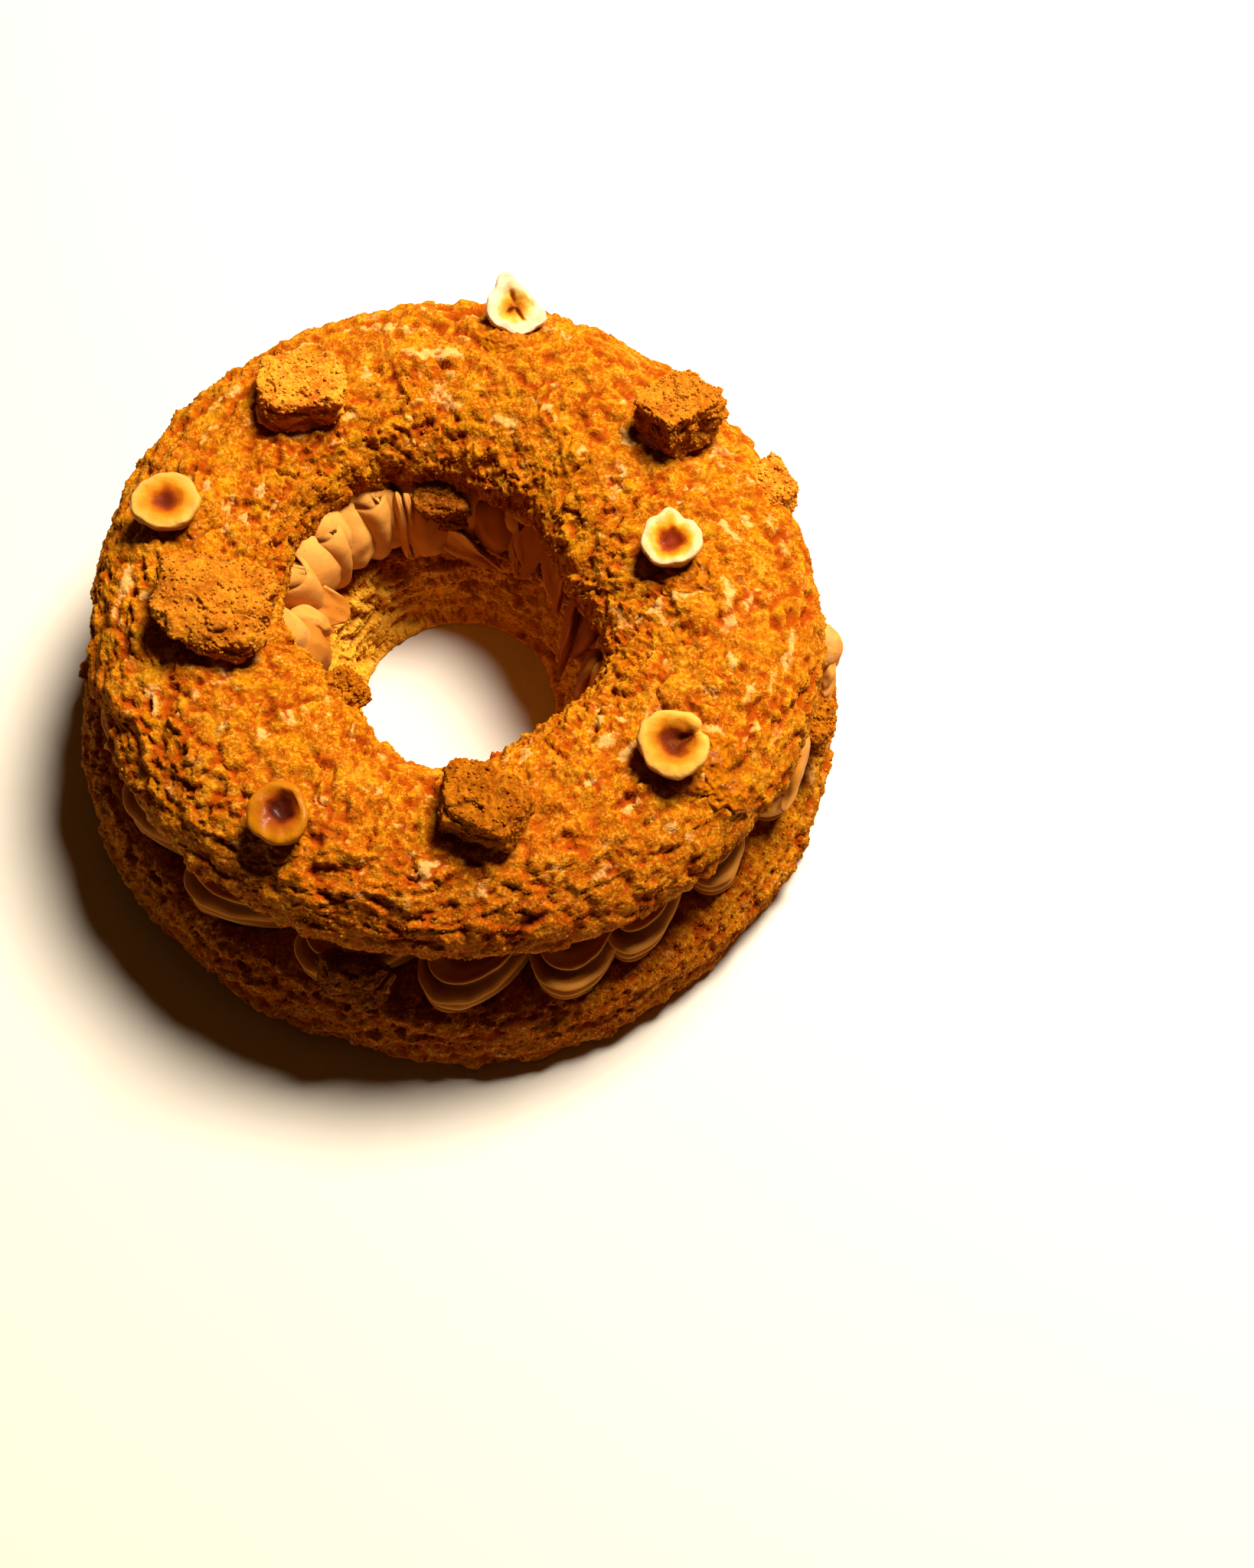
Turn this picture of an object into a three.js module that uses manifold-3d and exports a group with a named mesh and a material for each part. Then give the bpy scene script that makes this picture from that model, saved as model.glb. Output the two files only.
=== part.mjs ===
// A paris-brest: a ring of choux pastry with a crackled crust, cut level and filled with piped praline
// cream, with half hazelnuts and crumble chunks on its lid and in its filling.
// Millimetres, +Z up. The origin is on the ring's axis, at the level of the surface that it rests on.
import * as THREE from "three";
import { mergeVertices } from "three/addons/utils/BufferGeometryUtils.js";
import Module from "manifold-3d";

const wasm = await Module();
wasm.setup();

const turn = 2 * Math.PI;
const degree = Math.PI / 180;
const gap = 0.3;
const mergeDistance = 1e-3;

// The lower half. Its wall bulges outward, and its hole narrows toward the table.
const base = {
  footRadius: 76.2,
  bulgeRadius: 80,
  bulgeHeight: 7,
  shoulderRadius: 78.2,
  shoulderHeight: 13.4,
  topRadius: 74.8,
  topHeight: 17.7,
  undercut: 0.9,
  undercutHeight: 2.8,
  edgeWidth: 1.6,
  edgeDrop: 1.3,
  edgeStray: 0.6,
  holeTopRadius: 28.4,
  holeWaistRadius: 24.6,
  holeWaistHeight: 9.5,
  holeFootRadius: 22.2,
  holeShift: [-0.4, 0.9],
  columns: 88,
  relief: 0.9,
};

// The upper half, a low dome on a level cut.
const lid = {
  outerRadius: 73.4,
  holeRadius: 31.4,
  cutHeight: 36.7,
  domeHeight: 14.6,
  squareness: 0.8,
  columns: 90,
  domeRows: 12,
  underRows: 2,
  relief: 1.1,
  rimRelief: 0.9,
  sagOut: 1.3,
  sagToward: -66 * degree,
  sagWidth: 24 * degree,
};

// How far each rim strays from a circle: cosine and sine sizes for 1, 2, 3... waves a turn.
const baseRimWaves = [[0, 0], [-0.72, -0.48], [-0.21, 0.29], [0.16, 0.16], [0.3, -0.11]];
const lidRimWaves = [[0.55, 1.08], [-0.09, -0.78], [0.38, -0.59], [0, -0.3]];
const lidHoleWaves = [[-2.48, 0.46], [-1.33, -3.83], [0.25, 0.64], [0.93, -0.93], [-0.52, -0.83]];

// The crust's crags: waves round the ring with their turn from row to row, a share of chance, and a start
// for each surface.
const crag = {
  waves: [[9, 0.9], [14, -1.3], [23, 1.9]],
  chance: 0.5,
  drawsPerRadian: 50,
  rimStart: 1.3,
  holeStart: 4.1,
  domeStart: 2.2,
  wallStart: 5.2,
};

// The filling is a coil of piped loops laid round the ring. Each loop leans on the one before it.
const cream = {
  loops: 21,
  firstLoop: -92 * degree,
  spread: 0.2,
  widestAt: -165 * degree,
  outerReach: 74.8,
  bulge: 3.4,
  bulgeToward: -68 * degree,
  bulgeWidth: 22 * degree,
  innerReach: 28,
  outerHalfWidth: 14,
  innerHalfWidth: 6.4,
  halfHeight: 11.5,
  lean: 0.32,
  outerUneven: 0.8,
  innerUneven: 0.7,
  leanUneven: 0.2,
  columns: 14,
  coreOuterRadius: 67.5,
  coreInnerRadius: 33,
  coreColumns: 42,
  slabSide: 300,
};

// A loop's ridges from top to bottom: reach as a share of its half width, and height as a share of its half
// height.
const loopProfile = [
  [0, 1],
  [0.86, 0.8],
  [0.8, 0.42],
  [0.98, 0.16],
  [0.88, -0.12],
  [1, -0.42],
  [0.84, -0.68],
  [0, -1],
];

// Half a hazelnut, cut face up: radius and height from the cut face, from the hollow's floor to the round
// end.
const nutDepth = 7.9;
const nutRimRow = 4;
const nutProfile = [
  [0, -2.3],
  [2, -1.9],
  [3.1, -0.5],
  [4.1, 0],
  [6, 0],
  [6.75, -1.1],
  [6.3, -4.2],
  [3.9, -6.9],
  [0, -nutDepth],
];
const nutColumns = 16;
const nutWaves = [[2, 0.035, 1], [3, 0.025, -2]];

// How much of what lies beyond a nut's break is pressed back to it.
const breakFlatness = 0.85;

// The toppings' places: distance from the axis, angle from +X toward +Y, and height. A nut's height is its
// cut face's, a chunk's is its middle's. Nuts tip toward an angle, and chunks have their length, width and
// depth. A broken nut has its break's angle and distance from its middle.
const nuts = [
  { radius: 67.6, angle: 79, height: 54.6, tip: 34, toward: -75, scale: 1, broken: [43, 2.8] },
  { radius: 58.85, angle: 163.05, height: 57.4, tip: 9, toward: -60, scale: 0.97 },
  { radius: 44.6, angle: 10.9, height: 57, tip: 12, toward: -120, scale: 0.89 },
  { radius: 57.6, angle: -40.1, height: 57.6, tip: 10, toward: -80, scale: 1.03 },
  { radius: 59.7, angle: -120.85, height: 56.3, tip: 10, toward: -100, scale: 0.91 },
  { radius: 71.9, angle: -0.5, height: 29.5, tip: 82, toward: 170, scale: 0.92 },
];
const chunks = [
  { radius: 54.8, angle: 124.8, height: 54.2, size: [17.5, 15, 9.5], yaw: 4, tilt: 4 },
  { radius: 60.4, angle: 40.7, height: 55.2, size: [16, 14, 12], yaw: 40, tilt: -6 },
  { radius: 46.8, angle: -172.3, height: 55.2, size: [24, 19.5, 9.4], yaw: -12, tilt: 7 },
  { radius: 50, angle: -81.5, height: 55.4, size: [18, 14.5, 11], yaw: -34, tilt: 6 },
  { radius: 70.2, angle: 24.6, height: 42.6, size: [9.5, 11, 8], yaw: 25, tilt: 0 },
  { radius: 30.4, angle: 95.7, height: 33.4, size: [11.5, 8, 9], yaw: 4, tilt: 0 },
  { radius: 27.2, angle: -138.7, height: 41.5, size: [8, 8.6, 7.5], yaw: 40, tilt: 0 },
  { radius: 74.6, angle: -104, height: 26, size: [15, 8.5, 10], yaw: -14, tilt: 10 },
  { radius: 75, angle: -13.8, height: 27, size: [6.5, 10, 9], yaw: -12, tilt: 0 },
];
const chunkDetail = 2;
const chunkSquareness = 3.2;
const chunkRoughness = 0.13;
const chunkShrink = 0.3;
const cornerSteps = 100;
const cornerSpread = 10;

const drawWeights = [12.9898, 78.233, 37.719];
const drawSpread = 43758.5453;

// A sum of waves round the ring.
function wander(waves, angle) {
  return waves.reduce(
    (sum, [across, along], k) =>
      sum + across * Math.cos((k + 1) * angle) + along * Math.sin((k + 1) * angle),
    0,
  );
}

// 1 toward one angle, falling to 0 on both sides of it.
function hump(angle, toward, width) {
  const apart = Math.atan2(Math.sin(angle - toward), Math.cos(angle - toward)) / width;
  return Math.exp(-apart * apart);
}

// A steady draw between -1 and 1 for a place in space.
function draw(x, y, z) {
  const value = Math.sin(x * drawWeights[0] + y * drawWeights[1] + z * drawWeights[2]) * drawSpread;
  return 2 * (value - Math.floor(value)) - 1;
}

// A crag's height, between -1 and 1: crossing waves round the ring and along its section, broken up by a
// draw.
function crags(angle, row, start) {
  const swell = crag.waves.reduce(
    (sum, [round, over], k) => sum + Math.sin(round * angle + over * row + start * (k + 1)),
    0,
  );
  const chance = draw(Math.round(angle * crag.drawsPerRadian), row, start);
  return ((1 - crag.chance) * swell) / crag.waves.length + crag.chance * chance;
}

// A closed ring of geometry. section(angle, row) gives a row's distance from the axis and its height.
function ringGeometry(columns, rows, section) {
  const geometry = new THREE.TorusGeometry(1, 0.5, rows, columns);
  const { position, uv } = geometry.attributes;
  for (let i = 0; i < position.count; i++) {
    const angle = Math.round(uv.getX(i) * columns) % columns * turn / columns;
    const row = Math.round(uv.getY(i) * rows) % rows;
    const [radius, height] = section(angle, row);
    position.setXYZ(i, radius * Math.cos(angle), radius * Math.sin(angle), height);
  }
  return geometry;
}

// A closed round body from a profile that starts at its top and ends at its foot, both on its axis.
function roundGeometry(columns, profile, place) {
  const rows = profile.length - 1;
  const geometry = new THREE.SphereGeometry(1, columns, rows);
  const { position, uv } = geometry.attributes;
  for (let i = 0; i < position.count; i++) {
    const row = Math.round((1 - uv.getY(i)) * rows);
    const x = position.getX(i);
    const y = -position.getZ(i);
    const angle = row === 0 || row === rows ? 0 : Math.atan2(y, x);
    position.setXYZ(i, ...place(angle, ...profile[row]));
  }
  return geometry;
}

function solidOf(geometry) {
  const bare = geometry.clone();
  bare.deleteAttribute("normal");
  bare.deleteAttribute("uv");
  const merged = mergeVertices(bare, mergeDistance);
  return new wasm.Manifold(
    new wasm.Mesh({
      numProp: 3,
      vertProperties: merged.attributes.position.array,
      triVerts: new Uint32Array(merged.index.array),
    }),
  );
}

function geometryOf(solid) {
  const mesh = solid.getMesh();
  const geometry = new THREE.BufferGeometry();
  geometry.setAttribute("position", new THREE.BufferAttribute(mesh.vertProperties, 3));
  geometry.setIndex(new THREE.BufferAttribute(mesh.triVerts, 1));
  geometry.computeVertexNormals();
  return geometry;
}

// The lid's section runs over the dome from the outer rim to the hole, then back under it along the cut.
function lidGeometry(grow) {
  return ringGeometry(lid.columns, lid.domeRows + lid.underRows, (angle, row) => {
    const rimCrag = lid.rimRelief * crags(angle, 0, crag.rimStart);
    const holeCrag = lid.rimRelief * crags(angle, 0, crag.holeStart);
    const sag = lid.sagOut * hump(angle, lid.sagToward, lid.sagWidth);
    const outer = lid.outerRadius + wander(lidRimWaves, angle) + rimCrag + sag;
    const hole = lid.holeRadius + wander(lidHoleWaves, angle) + holeCrag;
    const middle = (outer + hole) / 2;
    const half = (outer - hole) / 2;
    if (row > lid.domeRows) {
      const back = (row - lid.domeRows) / lid.underRows;
      return [middle + (half + grow) * (2 * back - 1), lid.cutHeight - grow];
    }
    const over = row / lid.domeRows * Math.PI;
    const rise = Math.sin(over);
    const lump = rise * lid.relief * crags(angle, row, crag.domeStart) + grow;
    return [
      middle + (half + lump) * Math.cos(over),
      lid.cutHeight + (lid.domeHeight + lump) * rise ** lid.squareness - (row % lid.domeRows ? 0 : grow),
    ];
  });
}

function baseGeometry() {
  const section = [
    [base.footRadius, 0, 1],
    [base.bulgeRadius - base.undercut, base.undercutHeight, 1],
    [base.bulgeRadius, base.bulgeHeight, 1],
    [base.shoulderRadius, base.shoulderHeight, 1],
    [base.topRadius + base.edgeWidth, base.topHeight - base.edgeDrop, 1],
    [base.topRadius, base.topHeight, base.edgeStray],
    [base.holeTopRadius, base.topHeight, 0],
    [(base.holeTopRadius + base.holeWaistRadius) / 2, (base.topHeight + base.holeWaistHeight) / 2, 0],
    [base.holeWaistRadius, base.holeWaistHeight, 0],
    [base.holeFootRadius, 0, 0],
  ];
  return ringGeometry(base.columns, section.length, (angle, row) => {
    const [radius, height, outward] = section[row];
    const level = height === 0 || height === base.topHeight;
    const lump = level ? 0 : base.relief * crags(angle, row, crag.wallStart);
    const shift = base.holeShift[0] * Math.cos(angle) + base.holeShift[1] * Math.sin(angle);
    const stray = outward * wander(baseRimWaves, angle) + (outward ? 0 : shift);
    return [radius + stray + (outward ? lump : -lump), height];
  });
}

// The angle of a loop: the loops stand closer where the hand moved slower.
function loopAngle(index) {
  const even = cream.firstLoop + (index * turn) / cream.loops;
  const start = Math.sin(cream.firstLoop - cream.widestAt);
  return even + cream.spread * (Math.sin(even - cream.widestAt) - start);
}

function outerReachAt(angle) {
  return cream.outerReach + cream.bulge * hump(angle, cream.bulgeToward, cream.bulgeWidth);
}

// One piped loop: a long ridged body across the ring, with its trailing side up on the loop before it.
function loopGeometry(index) {
  const facing = loopAngle(index);
  const outer = outerReachAt(facing) + cream.outerUneven * draw(index, 1, 0);
  const inner = cream.innerReach + cream.innerUneven * draw(index, 2, 0);
  const middle = (outer + inner) / 2;
  const half = (outer - inner) / 2;
  const lean = cream.lean * (1 + cream.leanUneven * draw(index, 3, 0));
  const floor = base.topHeight + gap;
  const centre = (floor + lid.cutHeight - gap) / 2;
  return roundGeometry(cream.columns, loopProfile, (angle, reach, rise) => {
    const along = reach * half * Math.cos(angle);
    const share = (1 + along / half) / 2;
    const halfWidth = cream.innerHalfWidth + share * (cream.outerHalfWidth - cream.innerHalfWidth);
    const across = reach * halfWidth * Math.sin(angle);
    const radius = middle + along;
    const bearing = facing + across / radius;
    return [
      radius * Math.cos(bearing),
      radius * Math.sin(bearing),
      centre + rise * cream.halfHeight - across * lean,
    ];
  });
}

function creamSolid(pockets) {
  const floor = base.topHeight + gap;
  const ceiling = lid.cutHeight - gap;
  const core = ringGeometry(cream.coreColumns, 4, (angle, row) => [
    row === 0 || row === 3 ? cream.coreOuterRadius : cream.coreInnerRadius,
    row < 2 ? ceiling : floor,
  ]);
  let whole = solidOf(core);
  for (let i = 0; i < cream.loops; i++) whole = whole.add(solidOf(loopGeometry(i)));
  const slab = new THREE.BoxGeometry(cream.slabSide, cream.slabSide, ceiling - floor);
  slab.translate(0, 0, (ceiling + floor) / 2);
  whole = whole.intersect(solidOf(slab));
  for (const pocket of pockets) whole = whole.subtract(pocket);
  const bodies = whole.decompose();
  return bodies.reduce((most, body) => (body.volume() > most.volume() ? body : most));
}

// How far a point of a broken nut is moved back toward its break.
function beyondBreak(nut, reach, angle) {
  if (!nut.broken) return [0, 0];
  const toward = nut.broken[0] * degree;
  const beyond = breakFlatness * Math.max(reach * Math.cos(angle - toward) - nut.broken[1], 0);
  return [beyond * Math.cos(toward), beyond * Math.sin(toward)];
}

// A grown nut is the room that it needs, so its hollow is filled up to its cut face.
function nutGeometry(nut, index, grow) {
  const profile = nutProfile.map(([radius, height], row) => [
    radius,
    grow && row < nutRimRow ? grow : height,
  ]);
  const geometry = roundGeometry(nutColumns, profile, (angle, radius, height) => {
    const uneven = nutWaves.reduce(
      (sum, [round, size, shift]) => sum + size * Math.sin(round * angle + shift * index),
      1,
    );
    const reach = radius * uneven * nut.scale + (radius ? grow : 0);
    const drop = height < -nutDepth / 2 ? grow : 0;
    const back = beyondBreak(nut, reach, angle);
    return [
      reach * Math.cos(angle) - back[0],
      reach * Math.sin(angle) - back[1],
      height * nut.scale - drop,
    ];
  });
  const tipAxis = new THREE.Vector3(-Math.sin(nut.toward * degree), Math.cos(nut.toward * degree), 0);
  const tipped = new THREE.Matrix4().makeRotationAxis(tipAxis, nut.tip * degree);
  geometry.applyMatrix4(tipped);
  const bearing = nut.angle * degree;
  const across = nut.radius * Math.cos(bearing);
  const along = nut.radius * Math.sin(bearing);
  return geometry.translate(across, along, nut.height);
}

function chunkGeometry(chunk, index, grow) {
  const geometry = new THREE.IcosahedronGeometry(1, chunkDetail);
  const { position } = geometry.attributes;
  const halves = chunk.size.map((side) => side / 2);
  for (let i = 0; i < position.count; i++) {
    const way = new THREE.Vector3().fromBufferAttribute(position, i).normalize();
    const sum = [way.x, way.y, way.z].reduce((total, part) => total + Math.abs(part) ** chunkSquareness, 0);
    const corner = [way.x, way.y, way.z].map((part) => Math.round(part * cornerSteps) / cornerSpread);
    const rough = chunkRoughness * (draw(corner[0], corner[1] + index, corner[2]) - chunkShrink);
    const bulge = (1 + rough) / sum ** (1 / chunkSquareness);
    const reach = [way.x * halves[0] * bulge, way.y * halves[1] * bulge, way.z * halves[2] * bulge];
    position.setXYZ(i, reach[0] + grow * way.x, reach[1] + grow * way.y, reach[2] + grow * way.z);
  }
  geometry.rotateX(chunk.tilt * degree);
  geometry.rotateZ(chunk.yaw * degree);
  const bearing = chunk.angle * degree;
  const across = chunk.radius * Math.cos(bearing);
  const along = chunk.radius * Math.sin(bearing);
  return geometry.translate(across, along, chunk.height);
}

const crustMaterial = new THREE.MeshStandardMaterial({ color: 0xd98c2b, roughness: 0.9, metalness: 0 });
const creamMaterial = new THREE.MeshStandardMaterial({ color: 0xd6a35e, roughness: 0.55, metalness: 0 });
const nutMaterial = new THREE.MeshStandardMaterial({ color: 0xf3cf86, roughness: 0.5, metalness: 0 });
const chunkMaterial = new THREE.MeshStandardMaterial({ color: 0xc98a34, roughness: 0.95, metalness: 0 });

const group = new THREE.Group();

function addNode(name, geometry, material) {
  const mesh = new THREE.Mesh(geometry, material);
  mesh.name = name;
  group.add(mesh);
}

addNode("base", baseGeometry(), crustMaterial);
addNode("lid", lidGeometry(0), crustMaterial);

// What lies on or hangs by the lid is cut back from it, and what sits in the filling gets a pocket there.
const clearLid = solidOf(lidGeometry(gap));
const pockets = [];

function addTopping(name, shape, material) {
  const box = new THREE.Box3().setFromBufferAttribute(shape(0).attributes.position);
  if (box.min.z < lid.cutHeight) pockets.push(solidOf(shape(gap)));
  const bodies = solidOf(shape(0)).subtract(clearLid).decompose();
  const largest = bodies.reduce((most, body) => (body.volume() > most.volume() ? body : most));
  addNode(name, geometryOf(largest), material);
}

nuts.forEach((nut, i) => addTopping(`hazelnut_${i + 1}`, (grow) => nutGeometry(nut, i, grow), nutMaterial));
chunks.forEach((chunk, i) => {
  addTopping(`crumble_${i + 1}`, (grow) => chunkGeometry(chunk, i, grow), chunkMaterial);
});
addNode("cream", geometryOf(creamSolid(pockets)), creamMaterial);

export default group;
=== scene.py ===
import math
import random

import bmesh
import bpy
from mathutils import Matrix, Vector, noise
from mathutils.bvhtree import BVHTree


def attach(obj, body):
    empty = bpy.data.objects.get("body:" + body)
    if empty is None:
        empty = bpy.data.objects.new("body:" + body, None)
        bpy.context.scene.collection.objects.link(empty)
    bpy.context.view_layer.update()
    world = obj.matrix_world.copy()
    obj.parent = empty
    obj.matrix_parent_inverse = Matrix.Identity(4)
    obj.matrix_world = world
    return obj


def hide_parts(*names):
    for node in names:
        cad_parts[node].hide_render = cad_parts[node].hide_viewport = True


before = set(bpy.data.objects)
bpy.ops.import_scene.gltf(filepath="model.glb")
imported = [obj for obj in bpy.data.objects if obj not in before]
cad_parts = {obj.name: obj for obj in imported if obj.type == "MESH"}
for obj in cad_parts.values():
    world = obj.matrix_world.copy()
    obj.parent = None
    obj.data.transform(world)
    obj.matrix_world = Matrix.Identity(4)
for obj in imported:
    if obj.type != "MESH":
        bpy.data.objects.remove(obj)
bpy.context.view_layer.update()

# A paris-brest. Shapes are worked out in millimetres and turned into metres when a piece is finished.
mm = 0.001
turn = 2 * math.pi
scene = bpy.context.scene
dice = random.Random(7)
noise.seed_set(7)  # the vector noise would follow the clock otherwise


# A socket that takes part in sums, and a material being made.
class Value:
    def __init__(self, finish, socket):
        self.finish = finish
        self.socket = socket

    def __add__(self, other):
        return self.finish.math("ADD", self, other)

    def __radd__(self, other):
        return self.finish.math("ADD", other, self)

    def __sub__(self, other):
        return self.finish.math("SUBTRACT", self, other)

    def __rsub__(self, other):
        return self.finish.math("SUBTRACT", other, self)

    def __mul__(self, other):
        return self.finish.math("MULTIPLY", self, other)

    def __rmul__(self, other):
        return self.finish.math("MULTIPLY", other, self)


class Finish:
    def __init__(self, name):
        self.material = bpy.data.materials.new(name)
        self.material.use_nodes = True
        self.nodes = self.material.node_tree.nodes
        self.links = self.material.node_tree.links
        self.nodes.clear()

    def find(self, sockets, key):
        if isinstance(key, int):
            return sockets[key]
        named = [s for s in sockets if s.identifier == key] or [s for s in sockets if s.name == key]
        return named[0]

    def node(self, kind, settings, sockets, out=0):
        made = self.nodes.new(kind)
        for name, setting in settings.items():
            if name == "stops":
                self.setStops(made.color_ramp, setting)
            else:
                setattr(made, name, setting)
        for key, given in sockets.items():
            socket = self.find(made.inputs, key)
            if isinstance(given, Value):
                self.links.new(given.socket, socket)
            elif socket.type == "RGBA":
                socket.default_value = (*given, 1)
            else:
                socket.default_value = given
        return Value(self, self.find(made.outputs, out))

    def setStops(self, ramp, stops):
        while len(ramp.elements) < len(stops):
            ramp.elements.new(1)
        for element, (place, colour) in zip(ramp.elements, stops):
            element.position = place
            element.color = (*colour, 1)

    def math(self, operation, *given):
        return self.node("ShaderNodeMath", {"operation": operation}, dict(enumerate(given)))

    def coords(self):
        return self.node("ShaderNodeTexCoord", {}, {}, "Object")

    def axis(self, name):
        return self.node("ShaderNodeSeparateXYZ", {}, {"Vector": self.coords()}, name)

    def reach(self):
        # how far from the ring's axis
        sockets = {0: self.coords(), 1: (1, 1, 0)}
        flat = self.node("ShaderNodeVectorMath", {"operation": "MULTIPLY"}, sockets)
        return self.node("ShaderNodeVectorMath", {"operation": "LENGTH"}, {0: flat}, "Value")

    def attribute(self, name):
        return self.node("ShaderNodeAttribute", {"attribute_name": name}, {}, "Fac")

    def cloud(self, size, detail=3, rough=0.55, shift=0):
        place = self.coords()
        if shift:
            place = self.node("ShaderNodeVectorMath", {"operation": "ADD"}, {0: place, 1: (shift,) * 3})
        sockets = {"Vector": place, "Scale": 1 / (size * mm), "Detail": detail, "Roughness": rough}
        return self.node("ShaderNodeTexNoise", {}, sockets, "Fac")

    def cells(self, size):
        sockets = {"Vector": self.coords(), "Scale": 1 / (size * mm)}
        return self.node("ShaderNodeTexVoronoi", {}, sockets, "Distance")

    def step(self, value, low, high):
        sockets = {"Value": value, "From Min": low, "From Max": high}
        return self.node("ShaderNodeMapRange", {"interpolation_type": "SMOOTHSTEP"}, sockets)

    def mix(self, share, first, second):
        sockets = {"Factor_Float": share, "A_Color": first, "B_Color": second}
        return self.node("ShaderNodeMix", {"data_type": "RGBA"}, sockets, "Result_Color")

    def bump(self, height, depth):
        return self.node("ShaderNodeBump", {}, {"Height": height, "Distance": depth * mm})

    def done(self, **sockets):
        named = {name.replace("_", " "): given for name, given in sockets.items()}
        shader = self.node("ShaderNodeBsdfPrincipled", {}, named)
        output = self.nodes.new("ShaderNodeOutputMaterial")
        self.links.new(shader.socket, output.inputs["Surface"])
        return self.material


# What crust and crumble have in common: dry, with light that goes in and comes out redder.
bakedSurface = {
    "Specular_IOR_Level": 0.03,
    "Specular_Tint": (1, 0.6, 0.2),
    "Subsurface_Weight": 0.2,
    "Subsurface_Radius": (0.0012, 0.0005, 0.0001),
    "Subsurface_Scale": 1.0,
}


def crustFinish(name, look):
    make = Finish(name)
    hollow = make.attribute("hollow")
    pale = make.attribute("pale")
    blotch = make.cloud(look["blotchSize"], 4, 0.6)
    vein = make.cloud(look["veinSize"], 5, 0.62, 9)
    grain = make.cloud(look["grainSize"], 2, 0.65, 3)
    wall = make.step(make.reach(), *look["wallReach"]) * make.step(make.axis("Z"), *look["wallTop"])

    def share(tone):
        # painted light: dark tones are weaker on the wall of the hole
        most, lessOnWall = look[tone + "Share"]
        return most - wall * lessOnWall

    colour = make.mix(make.step(blotch, *look["blotchRange"]), look["deep"], look["gold"])
    colour = make.mix(make.step(vein, *look["veinRange"]) * look["veinShare"], colour, look["vein"])
    # painted light: the hole's wall, which lies in shade, is painted paler and more golden
    colour = make.mix(wall * look["wallLightShare"], colour, look["wall"])
    # painted shade: the crust is darkened toward the front of the ring, the side away from the lamp
    front = make.step(make.axis("Y"), *look["frontReach"])
    colour = make.mix(front * look["frontShadeShare"], colour, look["valleyShade"])
    colour = make.mix(make.step(grain, *look["brightRange"]) * look["brightShare"], colour, look["bright"])
    # painted shade: low places, where hollow is high, are darkened and reddened
    valleyShade = make.step(hollow + (grain - 0.5) * 0.5, *look["valleyShadeRange"])
    colour = make.mix(valleyShade * share("valleyShade"), colour, look["valleyShade"])
    colour = make.mix(make.step(grain, *look["burntRange"]) * share("burnt"), colour, look["burnt"])
    line = make.cloud(look["crackSize"], 4, 0.68, 21) - 0.5
    broken = make.step(make.cloud(look["crackGap"], 2, 0.5, 14), *look["crackGapRange"])
    crack = make.step(line * line, look["crackWidth"], 0) * broken
    colour = make.mix(crack * share("crack"), colour, look["crack"])
    paleness = make.step(pale + (grain - 0.5) * 0.8, *look["beigeRange"])
    colour = make.mix(paleness * look["beigeShare"], colour, look["beige"])
    # painted shade: cracks and pits, where hollow is high, get a dark crevice tone
    creviceShade = make.step(hollow + (grain - 0.5) * 0.4, *look["creviceShadeRange"])
    colour = make.mix(creviceShade * share("creviceShade"), colour, look["creviceShade"])
    colour = make.mix(make.step(make.cells(look["speckGap"]), *look["speckRange"]), colour, look["speck"])
    bumps = make.cells(look["bumpSize"]) * -1.0 + make.cloud(look["bumpSize"] * 0.5, 2) * 0.7
    return make.done(
        Base_Color=colour, Roughness=0.8, Normal=make.bump(bumps, look["bumpDepth"]), **bakedSurface
    )


def creamFinish(name, look):
    make = Finish(name)
    tone = make.cloud(look["toneSize"], 3)
    fold = make.attribute("fold")
    colour = make.mix(make.step(tone, *look["toneRange"]), look["dark"], look["light"])
    # painted shade: the deep tone darkens the flutes, and the shade tone darkens the cream under the lid
    for depth in ("deep", "shade", "edge"):
        colour = make.mix(make.step(fold, *look[depth + "Range"]), colour, look[depth])
    speck = make.step(make.cells(look["speckGap"]), *look["speckRange"])
    colour = make.mix(speck * look["speckShare"], colour, look["speck"])
    ripple = make.cloud(look["rippleSize"], 2) + make.cloud(look["grainSize"], 1) * 0.15
    return make.done(
        Base_Color=colour,
        Roughness=look["roughness"],
        Specular_IOR_Level=0.03,
        Specular_Tint=(1, 0.6, 0.25),
        Subsurface_Weight=0.1,
        Subsurface_Radius=(0.0016, 0.0008, 0.0003),
        Subsurface_Scale=1.0,
        Normal=make.bump(ripple, look["rippleDepth"]),
    )


nutTone = {
    "unevenSize": 1.9,
    "uneven": 0.14,
    "unevenRipe": (1.05, 0.8),
    "toastSize": 2.6,
    "toastRange": (0.52, 0.72),
    "toastRipe": (0.85, 1.2),
    "toastShare": 0.6,
    "bumpSize": 0.9,
    "bumpDepth": 0.14,
}


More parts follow.
